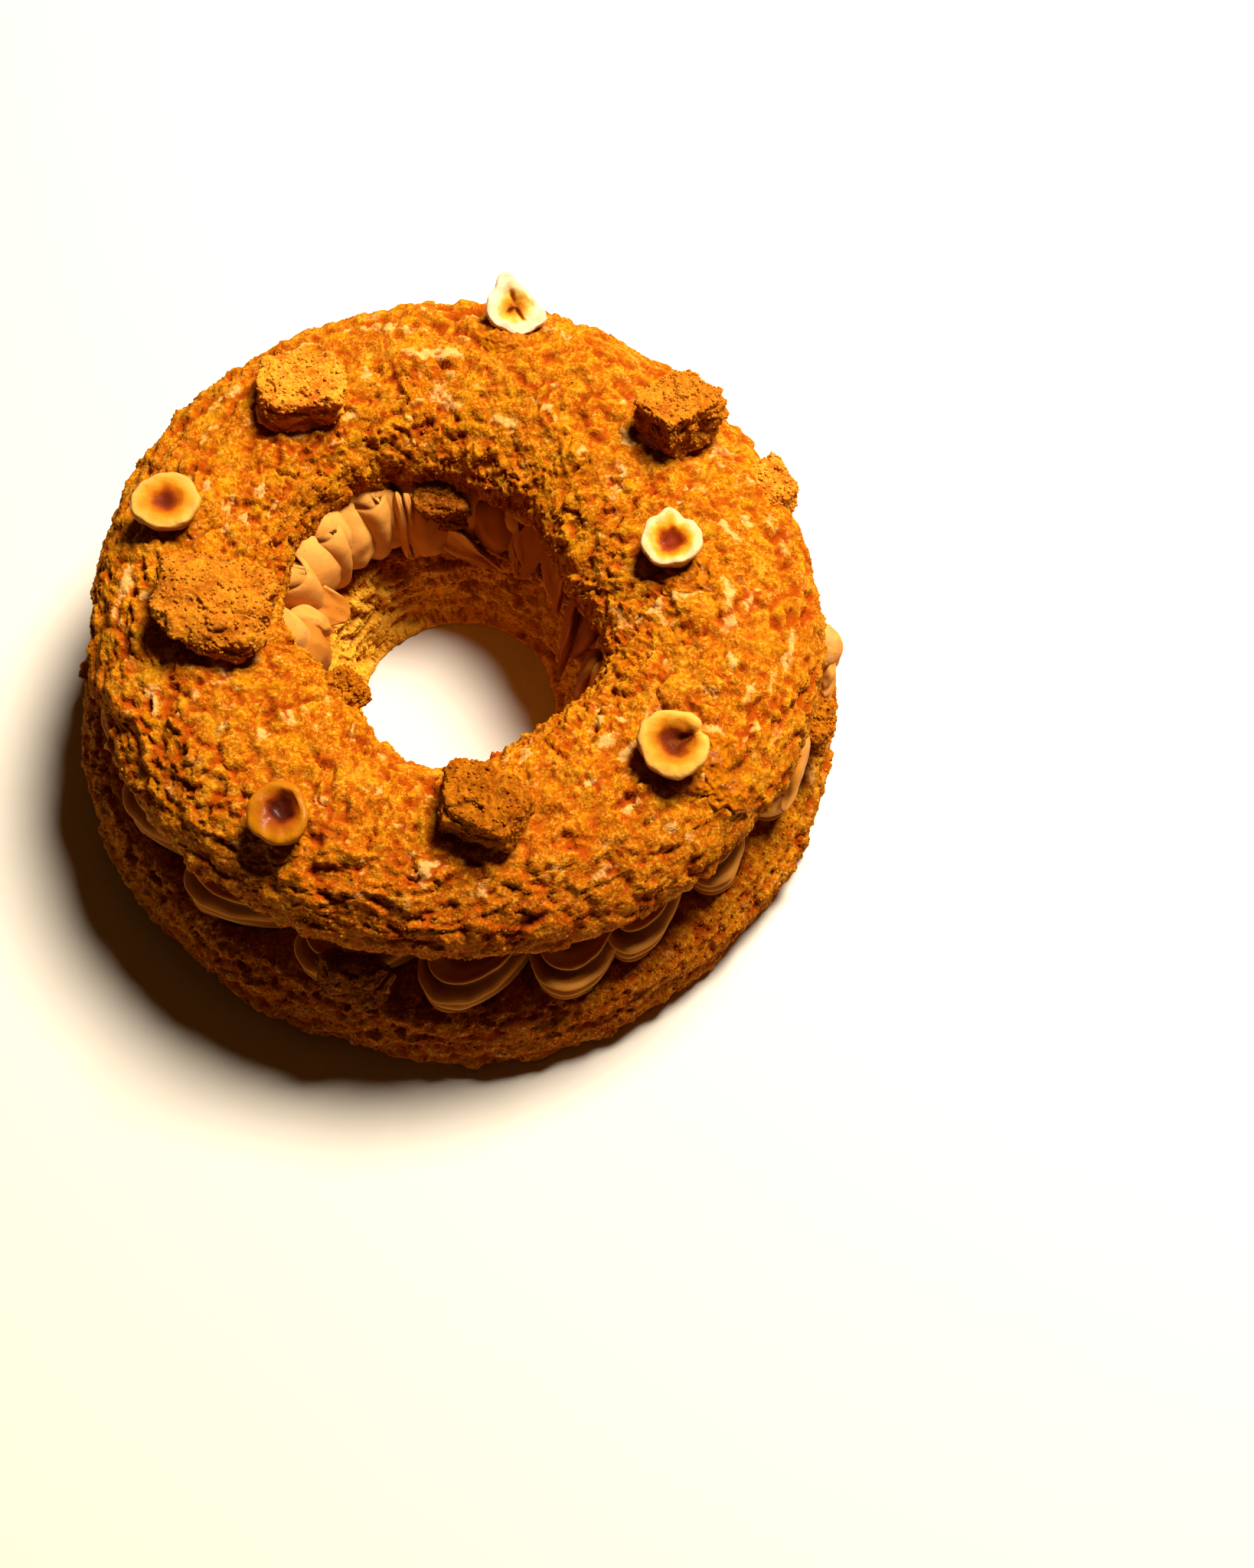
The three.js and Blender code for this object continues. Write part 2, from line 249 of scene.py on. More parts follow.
def nutFinish(name, look):
    make = Finish(name)
    ripe = make.attribute("ripe")
    uneven = (make.cloud(nutTone["unevenSize"], 3) - 0.5) * nutTone["uneven"]
    sockets = {"Fac": ripe * 0.5 + uneven * make.step(ripe, *nutTone["unevenRipe"])}
    colour = make.node("ShaderNodeValToRGB", {"stops": look["stops"]}, sockets, "Color")
    toast = make.step(make.cloud(nutTone["toastSize"], 3, 0.6, 5), *nutTone["toastRange"])
    toast *= make.step(ripe, *nutTone["toastRipe"]) * nutTone["toastShare"]
    colour = make.mix(toast, colour, look["toast"])
    return make.done(
        Base_Color=colour,
        Roughness=look["roughness"],
        Specular_IOR_Level=0.06,
        Specular_Tint=(1, 0.75, 0.45),
        Subsurface_Weight=0.08,
        Subsurface_Radius=(0.001, 0.0006, 0.0003),
        Subsurface_Scale=1.0,
        Coat_Weight=look["glaze"],
        Coat_Roughness=0.12,
        Normal=make.bump(make.cloud(nutTone["bumpSize"], 3), nutTone["bumpDepth"]),
    )


crumbleTone = {
    "blotchSize": 4.5,
    "blotchRange": (0.38, 0.62),
    "grainSize": 0.55,
    "brightRange": (0.45, 0.75),
    "brightShare": 0.7,
    "burntRange": (0.5, 0.28),
    "burntShare": 0.45,
    "creviceShadeRange": (0.3, 1.0),
    "creviceShadeShare": 0.55,
    "speckGap": 3.4,
    "speckRange": (0.16, 0.08),
    "speckShare": 0.8,
    "bumpSize": 0.7,
    "bumpDepth": 0.15,
}


def crumbleFinish(name, look):
    make = Finish(name)
    hollow = make.attribute("hollow")
    blotch = make.cloud(crumbleTone["blotchSize"], 4, 0.6, 2)
    grain = make.cloud(crumbleTone["grainSize"], 2, 0.6, 6)
    speck = make.cells(crumbleTone["speckGap"])
    # painted shade: where the chunk's surface lies low, hollow is high and gets a dark crevice tone
    masks = {"bright": grain, "burnt": grain, "creviceShade": hollow + (grain - 0.5) * 0.3, "speck": speck}
    colour = make.mix(make.step(blotch, *crumbleTone["blotchRange"]), look["deep"], look["gold"])
    for tone, mask in masks.items():
        shown = make.step(mask, *crumbleTone[tone + "Range"]) * crumbleTone[tone + "Share"]
        colour = make.mix(shown, colour, look[tone])
    bumps = make.cells(crumbleTone["bumpSize"]) * -1.0 + make.cloud(0.4, 2) * 0.5
    return make.done(
        Base_Color=colour, Roughness=0.85, Normal=make.bump(bumps, crumbleTone["bumpDepth"]), **bakedSurface
    )


def pralineFinish(name, look):
    make = Finish(name)
    tone = make.step(make.cloud(look["toneSize"], 2), *look["toneRange"])
    colour = make.mix(tone, look["dark"], look["light"])
    return make.done(
        Base_Color=colour,
        Roughness=0.4,
        Specular_IOR_Level=0.03,
        Specular_Tint=(1, 0.5, 0.15),
        Coat_Weight=0.07,
        Coat_Roughness=0.02,
        Normal=make.bump(make.cloud(look["bumpSize"], 1), look["bumpDepth"]),
    )


# Sizes are in millimetres, and places such as wallReach in metres. A range is where a tone sets in and where
# it is full. A share is a tone's most, and with the dark ones also how much less it is on the hole's wall.
crustLook = {
    "blotchSize": 5.5,
    "blotchRange": (0.4, 0.62),
    "veinSize": 6.5,
    "veinRange": (0.55, 0.66),
    "veinShare": 0.4,
    "wallReach": (0.031, 0.027),
    "wallTop": (0.021, 0.017),
    "wallLightShare": 0.85,
    "frontReach": (-0.035, -0.08),
    "frontShadeShare": 0.85,
    "grainSize": 0.8,
    "brightRange": (0.46, 0.68),
    "brightShare": 0.75,
    "valleyShadeRange": (0.0, 0.45),
    "valleyShadeShare": (0.5, 0.35),
    "burntRange": (0.52, 0.34),
    "burntShare": (0.42, 0.25),
    "crackSize": 2.0,
    "crackWidth": 0.0017,
    "crackGap": 3.4,
    "crackGapRange": (0.42, 0.54),
    "crackShare": (0.85, 0.5),
    "beigeRange": (0.2, 1.0),
    "beigeShare": 0.78,
    "creviceShadeRange": (0.15, 0.8),
    "creviceShadeShare": (0.88, 0.5),
    "bumpSize": 0.7,
    "bumpDepth": 0.15,
    "speckGap": 8.5,
    "speckRange": (0.04, 0.02),
    "gold": (0.42, 0.148, 0.001),
    "deep": (0.32, 0.086, 0.001),
    "vein": (0.48, 0.190, 0.010),
    "bright": (0.53, 0.244, 0.018),
    "valleyShade": (0.30, 0.058, 0.001),
    "burnt": (0.25, 0.034, 0.001),
    "beige": (0.62, 0.32, 0.085),
    "wall": (0.78, 0.36, 0.022),
    "creviceShade": (0.25, 0.028, 0.001),
    "crack": (0.24, 0.028, 0.001),
    "speck": (0.045, 0.014, 0.012),
}
creamLook = {
    "toneSize": 7,
    "toneRange": (0.35, 0.65),
    "deepRange": (0.45, 0.0),
    "shadeRange": (0.05, -0.7),
    "edgeRange": (0.75, 1.0),
    "speckGap": 1.9,
    "speckRange": (0.11, 0.044),
    "speckShare": 0.8,
    "rippleSize": 3.2,
    "grainSize": 0.5,
    "rippleDepth": 0.2,
    "roughness": 0.6,
    "light": (0.58, 0.238, 0.042),
    "dark": (0.50, 0.188, 0.028),
    # painted shade: deep darkens the flutes, and shade darkens the cream under the lid
    "deep": (0.34, 0.092, 0.005),
    "edge": (0.54, 0.180, 0.014),
    "shade": (0.035, 0.006, 0.001),
    "speck": (0.14, 0.035, 0.008),
}
# A nut's colours run from the middle of its hollow (0) over its rim (0.5) to its round side (0.7).
nutLooks = {
    "brokenNut": {
        "roughness": 0.6,
        "glaze": 0,
        "stops": [
            (0.0, (0.22, 0.04, 0.004)), (0.07, (0.34, 0.08, 0.005)), (0.13, (0.56, 0.20, 0.010)),
            (0.22, (0.70, 0.36, 0.06)), (0.30, (0.82, 0.54, 0.26)), (0.50, (0.86, 0.60, 0.35)),
            (0.57, (0.70, 0.42, 0.16)), (0.68, (0.50, 0.25, 0.06)),
        ],
        "toast": (0.62, 0.33, 0.06),
    },
    "goldenNut": {
        "roughness": 0.6,
        "glaze": 0,
        "stops": [
            (0.0, (0.070, 0.005, 0.001)), (0.08, (0.10, 0.009, 0.001)), (0.15, (0.19, 0.026, 0.001)),
            (0.21, (0.34, 0.070, 0.001)), (0.28, (0.46, 0.142, 0.004)), (0.36, (0.52, 0.200, 0.014)),
            (0.46, (0.55, 0.260, 0.046)), (0.53, (0.48, 0.190, 0.016)), (0.64, (0.33, 0.105, 0.004)),
        ],
        "toast": (0.40, 0.13, 0.006),
    },
    "roastedNut": {
        "roughness": 0.6,
        "glaze": 0.02,
        "stops": [
            (0.0, (0.19, 0.020, 0.004)), (0.12, (0.14, 0.010, 0.001)), (0.18, (0.23, 0.028, 0.001)),
            (0.23, (0.44, 0.110, 0.002)), (0.28, (0.60, 0.205, 0.005)), (0.34, (0.67, 0.29, 0.03)),
            (0.40, (0.75, 0.41, 0.17)), (0.49, (0.75, 0.41, 0.17)), (0.54, (0.50, 0.26, 0.05)),
            (0.64, (0.34, 0.13, 0.012)),
        ],
        "toast": (0.42, 0.19, 0.02),
    },
    "glazedNut": {
        "roughness": 0.6,
        "glaze": 0,
        "stops": [
            (0.0, (0.15, 0.030, 0.002)), (0.10, (0.085, 0.008, 0.001)), (0.17, (0.13, 0.016, 0.001)),
            (0.24, (0.33, 0.075, 0.002)), (0.32, (0.49, 0.165, 0.006)), (0.40, (0.57, 0.245, 0.024)),
            (0.48, (0.60, 0.290, 0.050)), (0.54, (0.44, 0.15, 0.008)), (0.66, (0.30, 0.08, 0.002)),
        ],
        "toast": (0.3, 0.09, 0.004),
    },
    "toastedNut": {
        "roughness": 0.5,
        "glaze": 0.04,
        "stops": [
            (0.0, (0.035, 0.003, 0.001)), (0.16, (0.045, 0.004, 0.001)), (0.24, (0.16, 0.018, 0.001)),
            (0.31, (0.26, 0.056, 0.001)), (0.40, (0.33, 0.098, 0.001)), (0.49, (0.34, 0.104, 0.002)),
            (0.56, (0.32, 0.08, 0.002)), (0.68, (0.18, 0.04, 0.001)),
        ],
        "toast": (0.22, 0.05, 0.002),
    },
    "peeledNut": {
        "roughness": 0.6,
        "glaze": 0,
        "stops": [
            (0.0, (0.46, 0.17, 0.04)), (0.6, (0.50, 0.205, 0.055)), (0.8, (0.49, 0.195, 0.045)),
            (0.95, (0.47, 0.15, 0.02)),
        ],
        "toast": (0.60, 0.30, 0.02),
    },
}
crumbleLooks = {
    "goldenCrumble": {
        "gold": (0.57, 0.190, 0.008),
        "deep": (0.44, 0.110, 0.003),
        "bright": (0.68, 0.31, 0.045),
        "burnt": (0.30, 0.048, 0.001),
        "creviceShade": (0.26, 0.038, 0.001),
        "speck": (0.11, 0.022, 0.012),
    },
    "brownCrumble": {
        "gold": (0.415, 0.133, 0.005),
        "deep": (0.31, 0.074, 0.002),
        "bright": (0.52, 0.218, 0.019),
        "burnt": (0.23, 0.034, 0.001),
        "creviceShade": (0.18, 0.025, 0.001),
        "speck": (0.08, 0.016, 0.012),
    },
    "toastedCrumble": {
        "gold": (0.33, 0.092, 0.002),
        "deep": (0.23, 0.048, 0.001),
        "bright": (0.44, 0.155, 0.007),
        "burnt": (0.16, 0.024, 0.001),
        "creviceShade": (0.11, 0.015, 0.001),
        "speck": (0.07, 0.012, 0.010),
    },
    # a copy darkened as painted shade, for chunks that sit under the lid's edge
    "paintedShadeCrumble": {
        "gold": (0.19, 0.048, 0.002),
        "deep": (0.12, 0.023, 0.001),
        "bright": (0.32, 0.100, 0.008),
        "burnt": (0.08, 0.011, 0.001),
        "creviceShade": (0.05, 0.006, 0.001),
        "speck": (0.05, 0.008, 0.006),
    },
}
pralineLook = {
    "toneSize": 1.8,
    "toneRange": (0.35, 0.65),
    "bumpSize": 1.7,
    "bumpDepth": 1.5,
    "light": (0.38, 0.105, 0.001),
    "dark": (0.24, 0.048, 0.001),
}

crust = crustFinish("bakedCrust", crustLook)
cream = creamFinish("pralineCream", creamLook)
praline = pralineFinish("softPraline", pralineLook)
nutFinishes = {name: nutFinish(name, look) for name, look in nutLooks.items()}
crumbleFinishes = {name: crumbleFinish(name, look) for name, look in crumbleLooks.items()}
print("finishes made")


def smoothStep(low, high, value):
    share = min(max((value - low) / (high - low), 0), 1)
    return share * share * (3 - 2 * share)


def onRing(angle, radius, height=0):
    return Vector((radius * math.cos(angle), radius * math.sin(angle), height))


def smoothAlong(points, share):
    # a smooth curve through a list of points
    place = share * (len(points) - 1)
    k = min(int(place), len(points) - 2)
    t = place - k
    a, b, c, d = (Vector(points[min(max(k + j, 0), len(points) - 1)]) for j in (-1, 0, 1, 2))
    square, cube = 2 * a - 5 * b + 4 * c - d, 3 * b - a - 3 * c + d
    return 0.5 * (2 * b + (c - a) * t + square * t * t + cube * t ** 3)


def hump(angle, toward, width):
    # 1 toward one angle, falling to 0 on both sides of it
    apart = math.remainder(angle - math.radians(toward), turn) / math.radians(width)
    return math.exp(-apart * apart)


def wander(waves, angle):
    # how far an outline leaves its circle, from the two parts of each of its waves
    return sum(
        across * math.cos(k * angle) + alongside * math.sin(k * angle)
        for k, (across, alongside) in enumerate(waves, 1)
    )


def ringMesh(section, rows, columns):
    # a sheet rolled up into a closed ring, its length round the ring and its width round the section
    bm = bmesh.new()
    bmesh.ops.create_grid(bm, x_segments=columns, y_segments=rows, size=0.5)
    for vert in bm.verts:
        angle = (vert.co.x + 0.5) * turn
        vert.co = onRing(angle, *section((vert.co.y + 0.5) % 1))
    bmesh.ops.remove_doubles(bm, verts=bm.verts, dist=1e-3)
    bmesh.ops.recalc_face_normals(bm, faces=bm.faces)
    return bm


def turnedMesh(profile, rows, columns, layerName=""):
    # a profile's third number, if it has one, is kept on its points
    bm = bmesh.new()
    layer = bm.verts.layers.float.new(layerName) if layerName else None
    verts = [bm.verts.new((0, 0, 0)) for _ in range(rows + 1)]
    for first, second in zip(verts, verts[1:]):
        bm.edges.new((first, second))
    for k, vert in enumerate(verts):
        point = smoothAlong(profile, k / rows)
        vert.co = (0 if k in (0, rows) else max(point[0], 0), 0, point[1])
        if layer:
            vert[layer] = point[2]
    bmesh.ops.spin(
        bm, geom=bm.verts[:] + bm.edges[:], cent=(0, 0, 0), axis=(0, 0, 1),
        angle=turn, steps=columns, use_merge=True,
    )
    bmesh.ops.remove_doubles(bm, verts=bm.verts, dist=1e-5)
    bmesh.ops.recalc_face_normals(bm, faces=bm.faces)
    return bm


def finishPiece(bm, name, material, nodes=()):
    bmesh.ops.scale(bm, vec=(mm, mm, mm), verts=bm.verts)
    for face in bm.faces:
        face.smooth = True
    mesh = bpy.data.meshes.new(name)
    bm.to_mesh(mesh)
    bm.free()
    mesh.materials.append(material)
    piece = bpy.data.objects.new(name, mesh)
    scene.collection.objects.link(piece)
    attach(piece, "root")
    if nodes:
        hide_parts(*nodes)
    print(name, len(mesh.vertices), "points")


def facesOf(bm, lowest):
    # middles and normals of the faces that don't look further down than this
    return [(face.calc_center_median(), face.normal.copy()) for face in bm.faces if face.normal.z > lowest]


# Plates with cracks between them, lumps, grains, pits and pale patches. Each set of ledges has its length
# round the ring, width across it, height of a step, depth of a crack, how seldom it comes and its seed.
crustRelief = {
    "ledges": [
        (6.6, 5.6, 0.74, 0.56, 0.0, 3),
        (4.0, 3.5, 0.54, 0.5, -0.04, 11),
        (2.2, 1.9, 0.32, 0.36, -0.06, 23),
    ],
    "ledgeEdge": (-0.08, 0.06),
    "ledgeTilt": 0.6,
    "crackEdge": (0.02, 0.15),
    "crackHollow": 1.1,
    "ragged": [(2.6, 0.7), (0.9, 0.22)],
    "swell": 0.7,
    "swellSize": 11,
    "lumps": 0.72,
    "lumpSize": 2.9,
    "grains": 0.2,
    "grainSize": 0.85,
    "pitDepth": 0.5,
    "pitSize": 1.9,
    "pitRange": (0.36, 0.58),
    "patchLength": 5,
    "patchWidth": 3,
    "patchRange": (0.17, 0.59),
    "sink": 0.35,
}


def crustHeight(place, angle, across, meanRadius):
    # how far the crust rises here, how deep in a crack or pit it is and how pale it is
    around = Vector((math.cos(angle), math.sin(angle), 0))
    (coarse, coarseShare), (fine, fineShare) = crustRelief["ragged"]
    ragged = noise.noise_vector(place / coarse) * coarseShare + noise.noise_vector(place / fine) * fineShare
    height, hollow = crustRelief["swell"] * noise.noise(place / crustRelief["swellSize"]), 0
    for length, width, step, depth, seldom, seed in crustRelief["ledges"]:
        spot = around * (meanRadius / length) + Vector((seed, seed, across / width))
        spot += ragged * (1.4 / width)
        level = noise.noise(spot) + 0.35 * noise.noise(spot * 2.1)
        often = smoothStep(-0.15 + seldom, 0.2 + seldom, noise.noise(spot * 0.55 + Vector((4, 1, 9))))
        crack = often * (1 - smoothStep(*crustRelief["crackEdge"], abs(level + 0.05)))
        rise = often * smoothStep(*crustRelief["ledgeEdge"], level) + crustRelief["ledgeTilt"] * level
        height += step * rise - depth * crack
        hollow += crustRelief["crackHollow"] * crack * depth
    lumps = noise.fractal(place / crustRelief["lumpSize"], 0.9, 2.1, 4)
    grains = 0.45 - noise.voronoi(place / crustRelief["grainSize"])[0][0]
    spot = place / crustRelief["pitSize"] + Vector((20, 3, 8))
    pit = smoothStep(*crustRelief["pitRange"], noise.noise(spot))
    spot = around * (meanRadius / crustRelief["patchLength"])
    spot += Vector((31, 5, across / crustRelief["patchWidth"]))
    pale = smoothStep(*crustRelief["patchRange"], noise.noise(spot + ragged * 0.8))
    lumpy = crustRelief["lumps"] * lumps * (1 - 0.5 * pale)
    height += lumpy + crustRelief["grains"] * grains - crustRelief["pitDepth"] * pit
    hollow = min(max(hollow + 0.5 * pit - 0.5 * lumps, 0), 1)
    return height - crustRelief["sink"], hollow, pale * (1 - hollow)


lid = {
    "outerRadius": 73.4,
    "holeRadius": 31.4,
    "cutHeight": 36.7,
    "domeHeight": 14.6,
    "squareness": 0.8,
    "rimWaves": [(0.55, 1.08), (-0.09, -0.78), (0.38, -0.59), (0, -0.3)],
    "holeWaves": [(-2.48, 0.46), (-1.33, -3.83), (0.25, 0.64), (0.93, -0.93), (-0.52, -0.83)],
    "columns": 730,
    "rows": 130,
    "rolled": (100, 10),
    "domeShare": 0.9,
    "acrossDome": 21,
    "meanRadius": 52,
    "lift": 0.3,
    "lean": (0.8, 0.15),
    "edgeLumps": 0.75,
    "underLumps": 0.4,
    "underHollow": 0.6,
    "paleAbove": (0.3, 0.8),
    "sagToward": -66,
    "sagWidth": 24,
    "sagOut": 1.3,
    "sagDown": 1.4,
    "sagRange": (1.1, 0.1),
    "rimRagged": 0.9,
    "raggedRange": (0.5, 0.05),
}


def lidPlace(angle, over):
    outer = lid["outerRadius"] + wander(lid["rimWaves"], angle)
    hole = lid["holeRadius"] + wander(lid["holeWaves"], angle)
    middle, half = (outer + hole) / 2, (outer - hole) / 2
    rise = max(math.sin(over), 0)
    return middle + half * math.cos(over), lid["cutHeight"] + lid["domeHeight"] * rise ** lid["squareness"]


def lidSection(share):
    # A half turn over the dome, from its rim to the hole, and back under it. The ring is rolled up with this
    # turn as its radius, and gets its real radius and height afterwards.
    radius, scale = lid["rolled"]
    if share <= lid["domeShare"]:
        return radius + min(share / lid["domeShare"], 1) * math.pi * scale, scale
    back = (share - lid["domeShare"]) / (1 - lid["domeShare"])
    return radius + (1 - back) * math.pi * scale, 0


def makeLid():
    rolledRadius, scale = lid["rolled"]
    bm = ringMesh(lidSection, lid["rows"], lid["columns"])
    hollowLayer = bm.verts.layers.float.new("hollow")
    paleLayer = bm.verts.layers.float.new("pale")
    for vert in bm.verts:
        angle = math.atan2(vert.co.y, vert.co.x)
        over = (math.hypot(vert.co.x, vert.co.y) - rolledRadius) / scale
        onTop = vert.co.z > scale / 2
        low = math.sin(over)
        radius, height = lidPlace(angle, over)
        if not onTop:
            height = lid["cutHeight"]
        place = onRing(angle, radius, height)
        lump, hollow, pale = crustHeight(place, angle, over * lid["acrossDome"], lid["meanRadius"])
        lump *= lid["edgeLumps"] + (1 - lid["edgeLumps"]) * low
        sag = hump(angle, lid["sagToward"], lid["sagWidth"])
        rim = smoothStep(*lid["sagRange"], over)
        ragged = lid["rimRagged"] * noise.noise(onRing(angle, 9, 2)) * smoothStep(*lid["raggedRange"], over)
        radius += lid["sagOut"] * sag * rim
        height -= lid["sagDown"] * sag * rim + ragged
        if onTop:
            outward, upward = lid["lean"]
            lean = Vector((math.cos(over) * outward, math.sin(over) + upward)).normalized()
            radius += lean[0] * (lump + lid["lift"])
            height += lean[1] * (lump + lid["lift"]) * smoothStep(0, 0.2, low)
        else:
            height += lid["underLumps"] * lump * smoothStep(0, 0.3, low)
            radius += math.cos(over) * lump
            hollow *= lid["underHollow"]
        vert.co = onRing(angle, radius, height)
        vert[hollowLayer] = hollow
        vert[paleLayer] = pale * smoothStep(*lid["paleAbove"], low)
    bmesh.ops.recalc_face_normals(bm, faces=bm.faces)
    bm.normal_update()
    return bm


lidMesh = makeLid()
lidTree = BVHTree.FromBMesh(lidMesh)
lidSpots = facesOf(lidMesh, 0.1)
finishPiece(lidMesh, "crustLid", crust, ["lid"])

base = {
    "profile": [
        (76.0, 0.0), (78.0, 0.9), (79.2, 3.0), (79.7, 5.8), (79.6, 8.8), (78.8, 11.8), (77.4, 14.6),
        (75.6, 16.8), (73.0, 17.7), (69.0, 17.7), (50.0, 17.5), (33.0, 17.6), (30.0, 17.6), (28.6, 16.2),
        (27.5, 13.6), (26.0, 11.0), (24.8, 8.4), (23.8, 5.6), (22.9, 2.6), (22.2, 0.0), (48.0, 0.0),
        (76.0, 0.0),
    ],
    "rimWaves": [(0, 0), (-0.72, -0.48), (-0.21, 0.29), (0.16, 0.16), (0.3, -0.11)],
    "holeShift": (-0.4, 0.9),
    "columns": 860,
    "rows": 104,
    "outerPart": (40, 60),
    "meanRadius": 60,
    "acrossWall": (1.6, 0.3),
    "relief": 0.9,
    "layers": 0.55,
    "holeLedges": 1.1,
    "ledgeHollow": 0.7,
    "flatFoot": 1.6,
    "pale": 0.6,
    "coveredByCream": (34, 70),
}


def makeBase():
    upward, outward = base["acrossWall"]
    bm = ringMesh(lambda share: smoothAlong(base["profile"], share)[:], base["rows"], base["columns"])
    bm.normal_update()
    hollowLayer = bm.verts.layers.float.new("hollow")
    paleLayer = bm.verts.layers.float.new("pale")
    for vert in bm.verts:
        angle = math.atan2(vert.co.y, vert.co.x)
        radius = math.hypot(vert.co.x, vert.co.y)
        outer = smoothStep(*base["outerPart"], radius)
        shift = base["holeShift"][0] * math.cos(angle) + base["holeShift"][1] * math.sin(angle)
        stray = outer * wander(base["rimWaves"], angle) + (1 - outer) * shift
        meanRadius = radius + (base["meanRadius"] - radius) * outer
        lump, hollow, pale = crustHeight(vert.co, angle, vert.co.z * upward + radius * outward, meanRadius)
        layers = noise.noise(onRing(angle, 5, vert.co.z * 0.55 + radius * 0.2))
        ledge = noise.noise(onRing(angle, 2.2, vert.co.z * 0.36 + 7))
        lump = base["relief"] * (lump - 0.35) + base["layers"] * layers
        lump += base["holeLedges"] * (1 - outer) * smoothStep(-0.08, 0.08, ledge)
        # grooves under the hole's ledges count as hollow, which the crust finish paints as shade
        groove = smoothStep(0.07, 0.0, abs(ledge + 0.05))
        hollow = min(hollow + base["ledgeHollow"] * (1 - outer) * groove, 1)
        moved = vert.co + vert.normal * lump * smoothStep(0.0, base["flatFoot"], vert.co.z)
        vert.co = onRing(angle, math.hypot(moved.x, moved.y) + stray, max(moved.z, 0))
        vert[hollowLayer] = hollow
        vert[paleLayer] = pale * base["pale"]
    bmesh.ops.recalc_face_normals(bm, faces=bm.faces)
    bm.normal_update()
    return bm


def isBare(spot):
    nearest, farthest = base["coveredByCream"]
    return spot.z > 1 and not nearest < spot.xy.length < farthest


baseMesh = makeBase()
baseSpots = [(spot, up) for spot, up in facesOf(baseMesh, -0.3) if isBare(spot)]
finishPiece(baseMesh, "crustBase", crust, ["base"])


# Loops of cream from a star nozzle, each with its left side up on the one before it. Vary: how far a loop's
# own numbers leave these.
filling = {
    "loops": 21,
    "loopsInPiece": 7,
    "firstLoop": -92,
    "spread": 0.2,
    "widestAt": -165,
    "outerReach": 74.8,
    "bulge": 3.4,
    "bulgeToward": -68,
    "bulgeWidth": 22,
    "dent": 1.6,
    "dentToward": -160,
    "dentWidth": 45,
    "dishedToward": -100,
    "dishedTo": 65,
    "fullFrom": 100,
    "innerReach": 28.9,
    "outerHalfWidth": 14.5,
    "innerHalfWidth": 6.6,
    "lean": 0.2,
    "slant": 31,
    "tipTurn": 11,
    "vary": {"outerReach": 0.5, "innerReach": 0.7, "lean": 0.25, "slant": 0.25, "flare": 0.8},
    "smoothShare": (0.55, 0.25),
    "wave": 0.4,
    "waveSize": 4,
    "floor": 17.6,
    "middle": 27,
    "ceiling": 36.6,
    "columns": 112,
    "rows": 84,
}
# Share of the loop's reach, height, and 1 on a ridge, 0 down in a flute or less in the shade of the lid,
# where
# the finish paints shade: some in the flutes, darkest under the lid.
dishedProfile = [
    (0, 36.6, -1), (0.4, 36.6, -1), (0.52, 36.0, -1), (0.46, 34.2, -1), (0.44, 32.2, -1), (0.46, 30.4, -1),
    (0.52, 28.9, -0.75), (0.60, 27.9, -0.45), (0.68, 27.4, -0.15), (0.76, 27.4, 0.25), (0.83, 27.8, 0.8),
    (0.88, 28.2, 1), (0.905, 27.9, 0.9), (0.89, 27.1, 0.2), (0.87, 26.2, -0.35), (0.88, 25.4, -0.45),
    (0.92, 24.9, -0.2), (0.975, 24.6, 0.5), (1.005, 24.2, 1), (1.005, 23.6, 0.8), (0.975, 22.8, 0.1),
    (0.955, 21.9, -0.1), (0.965, 21.1, 0.1), (0.985, 20.5, 0.4), (0.975, 19.6, 0.1), (0.95, 18.6, -0.1),
    (0.94, 17.6, 0), (0.5, 17.6, 0), (0, 17.6, 0),
]
fullProfile = [
    (0, 36.6, 0.4), (0.5, 36.6, 0.3), (0.79, 36.5, 0.3), (0.88, 36.0, 0.4), (0.925, 35.2, 0.8),
    (0.93, 34.4, 1), (0.91, 33.6, 0.7), (0.88, 32.8, 0.3), (0.86, 32.0, 0.1), (0.855, 31.2, 0),
    (0.87, 30.3, 0.1), (0.91, 29.4, 0.4), (0.965, 28.7, 0.9), (0.99, 28.1, 1), (1.0, 27.5, 0.7),
    (0.965, 26.6, 0.2), (0.92, 25.6, 0), (0.90, 24.4, 0), (0.915, 23.2, 0.1), (0.955, 22.4, 0.35),
    (0.995, 22.0, 0.9), (1.01, 21.5, 1), (1.0, 20.9, 0.6), (0.96, 19.8, 0.1), (0.93, 18.6, 0),
    (0.92, 17.9, 0), (0.91, 17.6, 0), (0.5, 17.6, 0), (0, 17.6, 0),
]


def loopAngle(index):
    first = math.radians(filling["firstLoop"])
    widest = math.radians(filling["widestAt"])
    even = first + index * turn / filling["loops"]
    return even + filling["spread"] * (math.sin(even - widest) - math.sin(first - widest))


def outerReachAt(facing):
    bulge = filling["bulge"] * hump(facing, filling["bulgeToward"], filling["bulgeWidth"])
    dent = filling["dent"] * hump(facing, filling["dentToward"], filling["dentWidth"])
    return filling["outerReach"] + bulge - dent


def loopProfileAt(facing):
    # dished under the lid at the front, full up to the lid elsewhere
    apart = abs(math.degrees(math.remainder(facing - math.radians(filling["dishedToward"]), turn)))
    full = smoothStep(filling["dishedTo"], filling["fullFrom"], apart)
    pairs = zip(dishedProfile, fullProfile)
    return [Vector(dished).lerp(Vector(filled), full)[:] for dished, filled in pairs]


def vary(what):
    return filling["vary"][what] * dice.uniform(-1, 1)


